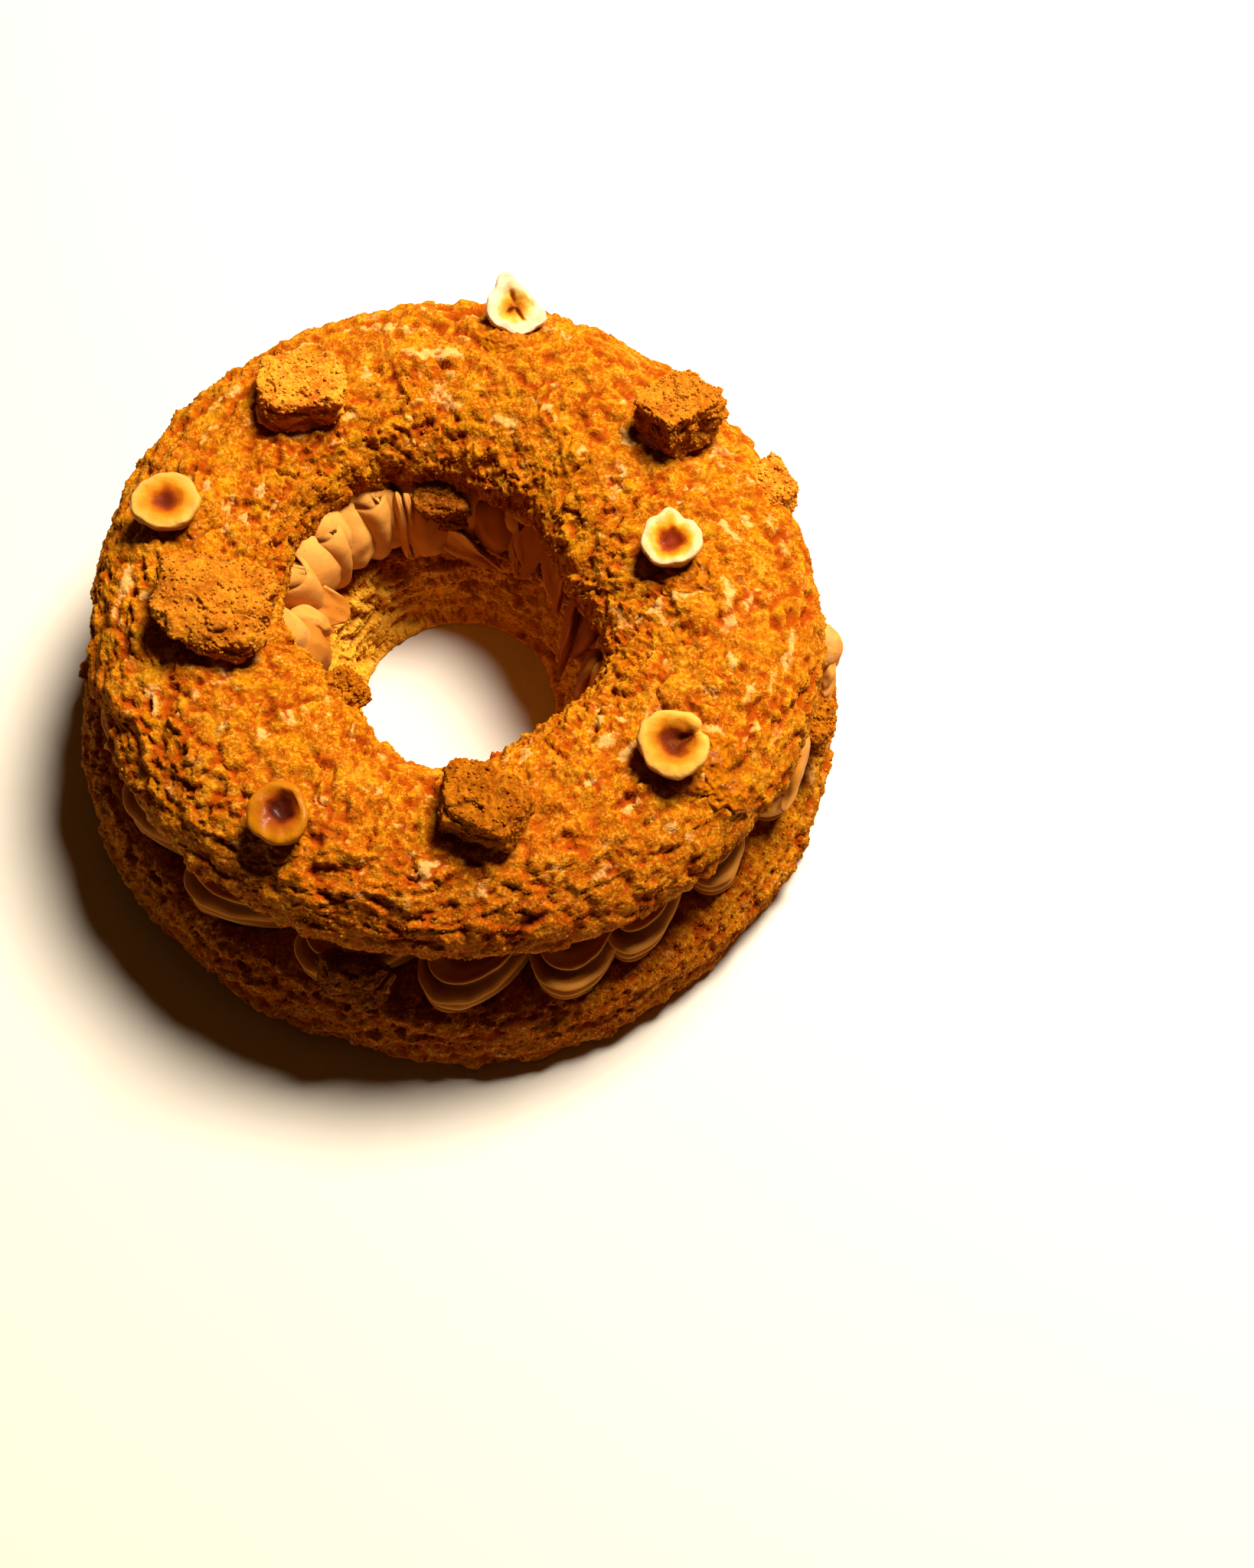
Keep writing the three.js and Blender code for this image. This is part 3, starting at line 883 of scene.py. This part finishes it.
def addMesh(whole, bm):
    mesh = bpy.data.meshes.new("part")
    bm.to_mesh(mesh)
    bm.free()
    whole.from_mesh(mesh)
    bpy.data.meshes.remove(mesh)


def addLoop(whole, index):
    facing = loopAngle(index) + math.radians(filling["tipTurn"])
    outer = outerReachAt(facing) + vary("outerReach")
    inner = filling["innerReach"] + vary("innerReach")
    lean = filling["lean"] * (1 + vary("lean"))
    slant = math.tan(math.radians(filling["slant"] * (1 + vary("slant"))))
    flare = 1 + vary("flare")
    middle, half = (outer + inner) / 2, (outer - inner) / 2
    bm = turnedMesh(loopProfileAt(facing), filling["rows"], filling["columns"], "fold")
    foldAndShadeLayer = bm.verts.layers.float["fold"]
    for vert in bm.verts:
        reach = vert.co.xy.length
        way = math.atan2(vert.co.y, vert.co.x) if reach > 1e-6 else 0
        height = vert.co.z
        if reach > 1:
            reach = 1 + (reach - 1) * flare  # the ridges stand out more or less
        share = (1 + reach * math.cos(way)) / 2
        widening = filling["outerHalfWidth"] - filling["innerHalfWidth"]
        halfWidth = filling["innerHalfWidth"] + share * widening
        smooth = smoothStep(*filling["smoothShare"], share)
        away = (height - filling["middle"]) / (filling["ceiling"] - filling["floor"]) * 2
        full = 0.84 + 0.16 * math.sqrt(max(1 - away * away, 0))
        reach += (full - reach) * smooth * smoothStep(0.4, 0.6, reach)
        vert[foldAndShadeLayer] += (0.6 - vert[foldAndShadeLayer]) * smooth
        along = reach * half * math.cos(way)
        across = reach * halfWidth * math.sin(way)
        height -= across * lean
        across -= along * slant * smoothStep(-0.3, 1, along / half)
        radius = middle + along
        bearing = facing + across / radius
        radius += filling["wave"] * noise.noise(onRing(bearing, radius, height) / filling["waveSize"])
        vert.co = onRing(bearing, radius, min(max(height, filling["floor"]), filling["ceiling"]))
    addMesh(whole, bm)


for first in range(0, filling["loops"], filling["loopsInPiece"]):
    creamMesh = bmesh.new()
    for index in range(first, first + filling["loopsInPiece"]):
        addLoop(creamMesh, index)
    bmesh.ops.recalc_face_normals(creamMesh, faces=creamMesh.faces)
    finishPiece(creamMesh, f"creamLoops{first // filling['loopsInPiece'] + 1}", cream, ["cream"])


# Lobes and petals of cream, most of them in the ring's hole. Each has its top, foot, width, thickness, how
# far it narrows to its foot, how far its sides curl toward the ring's axis, and its tone: 0.6 is plain
# cream, and lower tones are painted shade.
petals = [
    ((-23.6, 29.6, 36), (-20.6, 22.6, 22), 13, 8.5, 0.2, -0.6, 0.6),
    ((-28.2, 26.4, 37), (-23.6, 22.0, 27), 12, 8.5, 0.2, -0.6, 0.6),
    ((-32.4, 21.6, 36.4), (-26.6, 16.0, 23.5), 16.5, 10, 0.15, -0.8, 0.6),
    ((-34.8, 11.8, 31), (-21.8, 9.0, 25), 8, 3, 0.05, 1.4, 0.14),
    ((-33.6, 5.2, 32.5), (-25.6, 5.0, 26), 6.5, 4.5, 0.2, 0, 0.32),
    ((-35.0, 1.4, 33), (-27.0, -1.0, 21.6), 12, 9.5, 0.15, -0.8, 0.14),
    ((-35.0, -3.4, 29), (-26.4, -3.2, 21), 9, 5, 0.1, 1.2, 0.06),
    ((-21.4, 31.0, 37.5), (-15.0, 27.4, 20.5), 13, 3.4, 0.3, 0.9, 0.3),
    ((-15.6, 31.8, 37), (-13.0, 28.2, 21), 9, 5, 0.1, -0.2, 0.3),
    ((-12.4, 31.2, 37), (-10.7, 26.6, 19.6), 2.4, 5.4, 0.2, 0.4, 0.45),
    ((-10.4, 31.4, 37), (-8.9, 26.8, 18.8), 2.2, 5.2, 0.2, -0.3, 0.3),
    ((-7.0, 31.4, 36), (-5.8, 27.6, 18.8), 10.5, 7, 0.1, -0.5, 0.25),
    ((0.8, 34.0, 36), (1.4, 30.6, 19), 14, 7, 0, -0.3, -0.3),
    ((-5.6, 29.4, 28.4), (9.2, 24.2, 18.6), 7.5, 1.8, 0.7, 2.4, 0.5),
    ((6.8, 31.0, 36), (8.2, 27.4, 20.6), 11, 6.5, 0.15, -0.5, -0.1),
    ((11.4, 28.6, 35), (12.2, 23.6, 15.8), 3.4, 1.6, 0.6, 0.8, 0.1),
    ((17.2, 25.0, 36), (13.6, 22.6, 17), 8, 2.2, 0.7, 1.2, -0.1),
    ((20.2, 20.4, 35), (20.8, 13.6, 18), 7.5, 2.4, 0.75, 1.4, -0.05),
    ((24.8, 10.0, 34), (21.2, -0.8, 16), 5.6, 2.0, 0.85, 1.0, 0),
    ((29.4, 6.0, 36), (24.2, 2.4, 19.5), 9, 4, 0.5, 0.8, -0.2),
    ((29.0, -6.0, 35), (25.4, -7.0, 20), 9, 4, 0.4, 0.8, -0.2),
    ((-18.0, -70.5, 30), (-11.5, -73.5, 22), 6, 2.6, 0.3, -0.8, 0.1),
    ((71.4, -22.0, 32), (66.6, -35.8, 25), 10, 3.2, 0.65, -0.6, 0.8),
    ((76.8, -3.2, 30), (75.6, -10.6, 25), 5.4, 3, 0.4, -0.4, 0.4),
]


def addPetal(whole, petal, number):
    top, foot, wide, thick, point, curl, tone = petal
    top, foot = Vector(top), Vector(foot)
    middle, along = (top + foot) / 2, (top - foot) / 2
    across = along.cross(Vector((-middle.x, -middle.y, 0))).normalized()
    out = across.cross(along).normalized()
    bm = bmesh.new()
    foldAndShadeLayer = bm.verts.layers.float.new("fold")
    bmesh.ops.create_icosphere(bm, subdivisions=5, radius=1)
    for vert in bm.verts:
        side, face, rise = vert.co
        narrow = 1 - point * smoothStep(0.5, -1, rise)
        bend = curl * (side * side - 0.35 + 0.5 * min(rise, 0) ** 2)
        spot = Vector((side * 1.6, rise * 1.3, number * 3.7))
        vert.co = (
            middle + across * (side * wide / 2 * narrow + 0.5 * noise.noise(spot))
            + out * (face * thick / 2 + bend) + along * rise
            + noise.noise_vector(spot * 1.4 + Vector((0, face, 0))) * 0.45
        )
        vert[foldAndShadeLayer] = tone + 0.4 * smoothStep(0.8, 0.98, abs(side))
    addMesh(whole, bm)


petalMesh = bmesh.new()
for number, petal in enumerate(petals):
    addPetal(petalMesh, petal, number)
finishPiece(petalMesh, "creamPetals", cream, ["cream"])


nutShape = {
    "rows": 52,
    "columns": 90,
    "profile": [
        (0, -1.9), (0.9, -1.85), (1.8, -1.55), (2.6, -1.05), (3.4, -0.5), (4.3, -0.1), (5.2, 0.05),
        (6.0, -0.05), (6.5, -0.4), (6.7, -1.0), (6.5, -2.0), (6.1, -3.2), (5.4, -4.6), (4.3, -6.2),
        (2.4, -7.5), (0, -7.9),
    ],
    "depth": 7.9,
    "rimReach": 6.7,
    "faceReach": 6.3,
    "faceAbove": -2,
    "shifted": (3.0, 6.0),
    "slitDepth": 0.9,
    "waves": [(0.035, 2, 1), (0.025, 3, -2), (0.012, 7, 2)],
    "roughness": 0.34,
    "roughSize": 2.2,
}
# Half hazelnuts, cut face up. Bumps: way round the nut, how wide, how far out, how high. Rays: way of a
# dark slit, its width and its reach. Shift: how far the hollow lies off the middle. Dip: how deep it is.
# Broken: the side that is gone, and how far from the middle.
nuts = [
    {
        "radius": 67.6, "angle": 79, "height": 54.6, "tip": 34, "toward": -75, "scale": 1,
        "finish": "brokenNut", "broken": (43, 2.7),
        "bumps": [
            (1.95, 0.4, 0.7, 0.4), (2.75, 0.4, -0.8, 0.2), (3.5, 0.4, 0.4, 0.1), (4.3, 0.3, -0.5, 0),
            (5.9, 0.4, 0.5, 0.3),
        ],
        "rays": [(1.8, 0.45, 3.6), (4.1, 0.4, 2.4), (5.3, 0.4, 4.6)], "shift": (-0.8, -0.8), "dip": 0.4,
    },
    {
        "radius": 58.85, "angle": 163.05, "height": 57.4, "tip": 9, "toward": -60, "scale": 0.97,
        "finish": "goldenNut", "bumps": [(0.1, 0.35, 0.5, 0.1), (2.3, 0.4, -0.3, 0)], "rays": [],
        "shift": (0.1, 0.1), "dip": 0.5,
    },
    {
        "radius": 44.6, "angle": 10.9, "height": 57.0, "tip": 12, "toward": -120, "scale": 0.89,
        "finish": "roastedNut", "bumps": [(1.62, 0.26, 0.9, 0.3), (1.05, 0.2, -0.5, -0.3)], "rays": [],
        "shift": (0.2, -0.2), "dip": 0.5,
    },
    {
        "radius": 57.6, "angle": -40.1, "height": 57.6, "tip": 10, "toward": -80, "scale": 1.03,
        "finish": "glazedNut", "bumps": [(0.42, 0.16, -0.9, -1.2), (0.9, 0.3, 0.3, 0.1)],
        "rays": [(0.42, 0.7, 6.6)], "shift": (0.2, 0.4),
    },
    {
        "radius": 59.7, "angle": -120.85, "height": 56.3, "tip": 10, "toward": -100, "scale": 0.91,
        "finish": "toastedNut", "bumps": [(0.5, 0.4, -0.3, -0.2)], "rays": [], "shift": (0.9, 0.9),
    },
    {
        "radius": 71.9, "angle": -0.5, "height": 29.5, "tip": 82, "toward": 170, "scale": 0.92,
        "finish": "peeledNut", "bumps": [], "rays": [], "shift": (0, 0),
    },
]


def slitAt(way, reach, at, wide, far):
    aside = reach * math.sin(way - at) if math.cos(way - at) > 0 else reach
    return math.exp(-((aside / wide) ** 2)) * smoothStep(far, far * 0.6, reach)


def bumpsAt(way, bumps):
    push, rise = 0, 0
    for at, wide, out, up in bumps:
        apart = math.remainder(way - at, turn) / wide
        push += out * math.exp(-apart * apart)
        rise += up * math.exp(-apart * apart)
    return push, rise


def brokenOff(place, toward, distance):
    # what lies beyond the break is pressed back to it
    aside = onRing(math.radians(toward), 1)
    ragged = 0.8 * noise.noise(place / 1.6)
    beyond = max(place.dot(aside) - distance - ragged, 0)
    pressed = place - aside * beyond * 0.88
    pressed.z -= 0.4 * beyond
    return pressed


def shapeNut(bm, nut, index):
    ripeLayer = bm.verts.layers.float.new("ripe")
    shift = Vector((*nut["shift"], 0))
    for vert in bm.verts:
        way = math.atan2(vert.co.y, vert.co.x)
        reach = vert.co.xy.length
        onFace = vert.co.z > nutShape["faceAbove"] and reach < nutShape["faceReach"]
        ripe = reach / nutShape["rimReach"] if onFace else 0.96 - vert.co.z / nutShape["depth"]
        if onFace:
            vert.co.z *= nut.get("dip", 1)
            vert.co += shift * (1 - smoothStep(*nutShape["shifted"], reach))
            for ray in nut["rays"]:
                slit = slitAt(way, reach, *ray)
                vert.co.z -= nutShape["slitDepth"] * slit * smoothStep(0, 1.5, reach)
                ripe -= (ripe - 0.1) * 0.9 * slit
        vert[ripeLayer] = ripe
        push, rise = bumpsAt(way, nut["bumps"])
        near = smoothStep(1.5, 5.5, reach) * smoothStep(-5, -1, vert.co.z)
        uneven = 1 + sum(size * math.sin(k * way + phase * index) for size, k, phase in nutShape["waves"])
        uneven += push * near / max(reach, 1)
        vert.co = Vector((vert.co.x * uneven, vert.co.y * uneven, vert.co.z + rise * near)) * nut["scale"]
        if "broken" in nut:
            vert.co = brokenOff(vert.co, *nut["broken"])
        spot = vert.co / nutShape["roughSize"] + Vector((index, 0, 0))
        vert.co += noise.noise_vector(spot) * nutShape["roughness"]


def makeNut(nut, index):
    bm = turnedMesh(nutShape["profile"], nutShape["rows"], nutShape["columns"])
    shapeNut(bm, nut, index)
    toward = math.radians(nut["toward"])
    placed = Matrix.Translation(onRing(math.radians(nut["angle"]), nut["radius"], nut["height"]))
    tipped = Matrix.Rotation(math.radians(nut["tip"]), 4, (-math.sin(toward), math.cos(toward), 0))
    bmesh.ops.transform(bm, matrix=placed @ tipped, verts=bm.verts)
    finish = nutFinishes[nut["finish"]]
    finishPiece(bm, f"hazelnutHalf{index + 1}", finish, [f"hazelnut_{index + 1}"])


for index, nut in enumerate(nuts):
    makeNut(nut, index)


# Chunks of baked crumble. Cuts: flat faces where the chunk broke, each a direction and how far out it is.
chunks = [
    {
        "radius": 54.8, "angle": 124.8, "height": 54.2, "size": (17.5, 15, 9.5), "yaw": 4, "tilt": 4,
        "finish": "goldenCrumble",
        "cuts": [((-0.05, 0.1, 1), 4.1), ((0.1, -1, 0.1), 6.6), ((-1, 0.2, 0.1), 8.0)],
    },
    {
        "radius": 60.4, "angle": 40.7, "height": 55.2, "size": (16, 14, 12), "yaw": 40, "tilt": -6,
        "finish": "brownCrumble",
        "cuts": [((-0.1, -1, 0.1), 6.2), ((-1, 0, 0.2), 7.0), ((0.1, 0.1, 1), 4.2)],
    },
    {
        "radius": 46.8, "angle": -172.3, "height": 55.2, "size": (24, 19.5, 9.4), "yaw": -12, "tilt": 7,
        "finish": "brownCrumble",
        "cuts": [((0.15, 0.25, 1), 4.1), ((-0.5, -0.8, -0.6), 6.4), ((-1, -0.2, 0), 10.2)],
    },
    {
        "radius": 50, "angle": -81.5, "height": 55.4, "size": (18, 14.5, 11), "yaw": -34, "tilt": 6,
        "finish": "toastedCrumble", "cuts": [((-0.8, -0.5, 0.2), 6.6), ((0.3, -1, 0.1), 6.2)],
    },
    {
        "radius": 70.2, "angle": 24.6, "height": 42.6, "size": (9.5, 11, 8), "yaw": 25, "tilt": 0,
        "finish": "goldenCrumble", "cuts": [],
    },
    {
        "radius": 31.2, "angle": 95.7, "height": 32.8, "size": (11.5, 8, 9), "yaw": 4, "tilt": 0,
        "finish": "paintedShadeCrumble", "cuts": [],
    },
    {
        "radius": 27.2, "angle": -138.7, "height": 41.5, "size": (8, 8.6, 7.5), "yaw": 40, "tilt": 0,
        "finish": "toastedCrumble", "cuts": [],
    },
    {
        "radius": 74.6, "angle": -104, "height": 26, "size": (15, 8.5, 10), "yaw": -14, "tilt": 10,
        "finish": "paintedShadeCrumble",
        "cuts": [((0.2, -1, 0.5), 3.2), ((-0.7, -0.6, 0.3), 4.6), ((0.8, -0.4, 0.3), 5.2)],
    },
    {
        "radius": 75, "angle": -13.8, "height": 27, "size": (6.5, 10, 9), "yaw": -12, "tilt": 0,
        "finish": "toastedCrumble", "cuts": [],
    },
]
chunkShape = {
    "divisions": 6,
    "squareness": 3.6,
    "swell": 0.12,
    "cutFlatness": 0.9,
    "lumps": 1.5,
    "lumpSize": 2.8,
    "ledges": 0.8,
    "ledgeSize": (5, 5, 2.2),
    "grains": 0.6,
    "grainSize": 1.5,
}


def makeChunk(chunk, index):
    bm = bmesh.new()
    bmesh.ops.create_icosphere(bm, subdivisions=chunkShape["divisions"], radius=1)
    hollowLayer = bm.verts.layers.float.new("hollow")
    seed = Vector((index * 5.3, index * 2.1, 4))
    small = min(min(chunk["size"]) / 9, 1)
    power = chunkShape["squareness"]
    ledgeX, ledgeY, ledgeZ = chunkShape["ledgeSize"]
    for vert in bm.verts:
        way = vert.co.normalized()
        bulge = 1 / (abs(way.x) ** power + abs(way.y) ** power + abs(way.z) ** power) ** (1 / power)
        place = Vector([part * side / 2 * bulge for part, side in zip(way, chunk["size"])])
        place *= 1 + chunkShape["swell"] * noise.noise(way * 1.3 + seed)
        for facing, offset in chunk["cuts"]:
            facing = Vector(facing).normalized()
            beyond = place.dot(facing) - offset
            if beyond > 0:
                place -= facing * beyond * chunkShape["cutFlatness"]
        lumps = noise.fractal(place / (chunkShape["lumpSize"] * small) + seed, 1.0, 2.1, 3)
        ledge = noise.noise(Vector((place.x / ledgeX, place.y / ledgeY, place.z / ledgeZ)) + seed * 2)
        grains = 0.5 - min(noise.voronoi(place / chunkShape["grainSize"] + seed)[0][0], 0.5)
        lift = chunkShape["lumps"] * (0.5 * lumps - 0.3)
        lift += chunkShape["ledges"] * smoothStep(-0.04, 0.04, ledge)
        vert.co = place + way * (small * lift + chunkShape["grains"] * grains)
        vert[hollowLayer] = min(max(0.3 - 0.9 * lumps - 0.4 * grains, 0), 1)
    moved = (
        Matrix.Translation(onRing(math.radians(chunk["angle"]), chunk["radius"], chunk["height"]))
        @ Matrix.Rotation(math.radians(chunk["yaw"]), 4, "Z")
        @ Matrix.Rotation(math.radians(chunk["tilt"]), 4, "X")
    )
    bmesh.ops.transform(bm, matrix=moved, verts=bm.verts)
    bmesh.ops.recalc_face_normals(bm, faces=bm.faces)
    bm.normal_update()
    spots = facesOf(bm, -0.2)
    finish = crumbleFinishes[chunk["finish"]]
    finishPiece(bm, f"crumbleChunk{index + 1}", finish, [f"crumble_{index + 1}"])
    return spots


chunkSpots = {}
for index, chunk in enumerate(chunks):
    chunkSpots.setdefault(chunk["finish"], []).extend(makeChunk(chunk, index))


looseGrain = {"stretch": (0.7, 1.3), "lift": 0.05}


def makeGrains(name, spots, count, sizes, finish):
    # the number of grains is doubled until there are enough of them
    whole = bmesh.new()
    corners = len(bmesh.ops.create_icosphere(whole, subdivisions=1, radius=1)["verts"])
    while len(whole.verts) < count * corners:
        bmesh.ops.duplicate(whole, geom=whole.verts[:] + whole.edges[:] + whole.faces[:])
    points = list(whole.verts)
    for k in range(len(points) // corners):
        spot, up = dice.choice(spots)
        size = dice.uniform(*sizes)
        spin = Matrix.Rotation(dice.uniform(0, turn), 4, Vector([dice.uniform(-1, 1) for _ in range(3)]))
        shape = Matrix.Diagonal([size * dice.uniform(*looseGrain["stretch"]) for _ in range(3)]).to_4x4()
        placed = Matrix.Translation(spot + up * size * looseGrain["lift"]) @ spin @ shape
        for point in points[k * corners:(k + 1) * corners]:
            point.co = placed @ point.co
    whole.verts.layers.float.new("hollow")
    whole.verts.layers.float.new("pale")
    finishPiece(whole, name, finish)


# Loose grains: where they lie, how many and how large.
crustGrains = [
    ("Fine", lidSpots, 8192, (0.13, 0.24)),
    ("Medium", lidSpots, 8192, (0.2, 0.34)),
    ("Coarse", lidSpots, 4096, (0.3, 0.5)),
    ("Base", baseSpots, 8192, (0.15, 0.36)),
]
crumbleGrains = [
    ("Golden", "goldenCrumble", 1024, (0.18, 0.42)),
    ("Brown", "brownCrumble", 1024, (0.18, 0.46)),
    ("Toasted", "toastedCrumble", 1024, (0.18, 0.42)),
    ("PaintedShade", "paintedShadeCrumble", 512, (0.18, 0.4)),
]
for name, spots, count, sizes in crustGrains:
    makeGrains("crustGrains" + name, spots, count, sizes, crust)
for name, finish, count, sizes in crumbleGrains:
    makeGrains("crumbleGrains" + name, chunkSpots[finish], count, sizes, crumbleFinishes[finish])

# Drops of soft praline beside the nuts, each with its middle, size across and along, thickness and turn.
drops = [
    ((10.8, 60.0, 50.1), 5.4, 3.4, 1.3, 10),
    ((49.4, 3.6, 50.6), 3.2, 6.0, 1.1, 25),
    ((45.6, 1.4, 51.0), 4.6, 2.6, 1.0, -20),
    ((51.2, -37.0, 49.3), 4.2, 5.6, 1.3, 10),
    ((54.0, -42.6, 47.6), 3.8, 4.6, 1.1, 60),
    ((46.0, -41.8, 49.8), 4.6, 2.6, 1.0, -20),
    ((-51.8, 13.6, 50.4), 3.6, 4.6, 0.9, -40),
    ((-28.4, -55.6, 48.9), 4.2, 2.8, 0.9, 20),
]
dropFollow = 0.6  # how closely a drop follows the crust under it


def addDrop(whole, drop, number):
    middle, across, along, thick, yaw = drop
    yaw = math.radians(yaw)
    bm = bmesh.new()
    bmesh.ops.create_icosphere(bm, subdivisions=5, radius=1)
    for vert in bm.verts:
        way = math.atan2(vert.co.y, vert.co.x)
        ragged = 1 + 0.5 * noise.noise(onRing(way, 1, number * 3) * 1.6)
        x, y = vert.co.x * across * ragged, vert.co.y * along * ragged
        spot = Vector((
            middle[0] + x * math.cos(yaw) - y * math.sin(yaw),
            middle[1] + x * math.sin(yaw) + y * math.cos(yaw),
            80,
        ))
        hit = lidTree.ray_cast(spot, Vector((0, 0, -1)))[0]
        ground = hit.z if hit else lid["cutHeight"]
        rise = vert.co.z * thick * (1 + 0.5 * noise.noise(spot / 1.7))
        vert.co = (spot.x, spot.y, ground * dropFollow + middle[2] * (1 - dropFollow) + rise)
    addMesh(whole, bm)


dropMesh = bmesh.new()
for number, drop in enumerate(drops):
    addDrop(dropMesh, drop, number)
finishPiece(dropMesh, "pralineDrops", praline)
print("pieces made")


view = {
    "lens": 70,
    "sensor": 36,
    "from": (35.22, -304.37, 571.20),
    "target": (35.22, -17.08, 0),
}
light = {
    "keyPower": 36.5,
    "keySize": 0.42,
    "keyDistance": 1.1,
    "keyTurn": 45,
    "keyRise": 61,
    "keyColour": (1, 0.97, 0.92),
    "fill": 0.035,
    "fillColour": (1, 0.47, 0.09, 1),
}
floorLook = {"size": 4, "toneSize": 60, "dark": (0.59, 0.505, 0.385), "light": (0.60, 0.515, 0.395)}


def makeFloor():
    bm = bmesh.new()
    bmesh.ops.create_grid(bm, x_segments=1, y_segments=1, size=floorLook["size"])
    mesh = bpy.data.meshes.new("paleFloor")
    bm.to_mesh(mesh)
    bm.free()
    make = Finish("paleFloor")
    colour = make.mix(make.cloud(floorLook["toneSize"], 2), floorLook["dark"], floorLook["light"])
    mesh.materials.append(make.done(Base_Color=colour, Roughness=0.7))
    floor = bpy.data.objects.new("paleFloor", mesh)
    scene.collection.objects.link(floor)


def makeLight():
    lamp = bpy.data.lights.new("keyLight", "AREA")
    lamp.shape = "DISK"
    lamp.size = light["keySize"]
    lamp.energy = light["keyPower"]
    lamp.color = light["keyColour"]
    key = bpy.data.objects.new("keyLight", lamp)
    scene.collection.objects.link(key)
    rise = math.radians(light["keyRise"])
    away = onRing(math.radians(light["keyTurn"]), math.cos(rise), math.sin(rise))
    key.location = away * light["keyDistance"]
    key.rotation_euler = away.to_track_quat("Z", "Y").to_euler()
    world = bpy.data.worlds.new("softRoom")
    scene.world = world
    world.use_nodes = True
    background = world.node_tree.nodes["Background"]
    background.inputs["Color"].default_value = light["fillColour"]
    background.inputs["Strength"].default_value = light["fill"]


def makeCamera():
    eye = bpy.data.cameras.new("camera")
    eye.sensor_fit = "AUTO"
    eye.sensor_width = view["sensor"]
    eye.lens = view["lens"]
    eye.clip_start, eye.clip_end = 0.01, 20
    camera = bpy.data.objects.new("camera", eye)
    scene.collection.objects.link(camera)
    start, target = Vector(view["from"]) * mm, Vector(view["target"]) * mm
    camera.location = start
    camera.rotation_euler = (start - target).to_track_quat("Z", "Y").to_euler()
    scene.camera = camera


makeFloor()
makeLight()
makeCamera()
scene.view_settings.view_transform = "Standard"
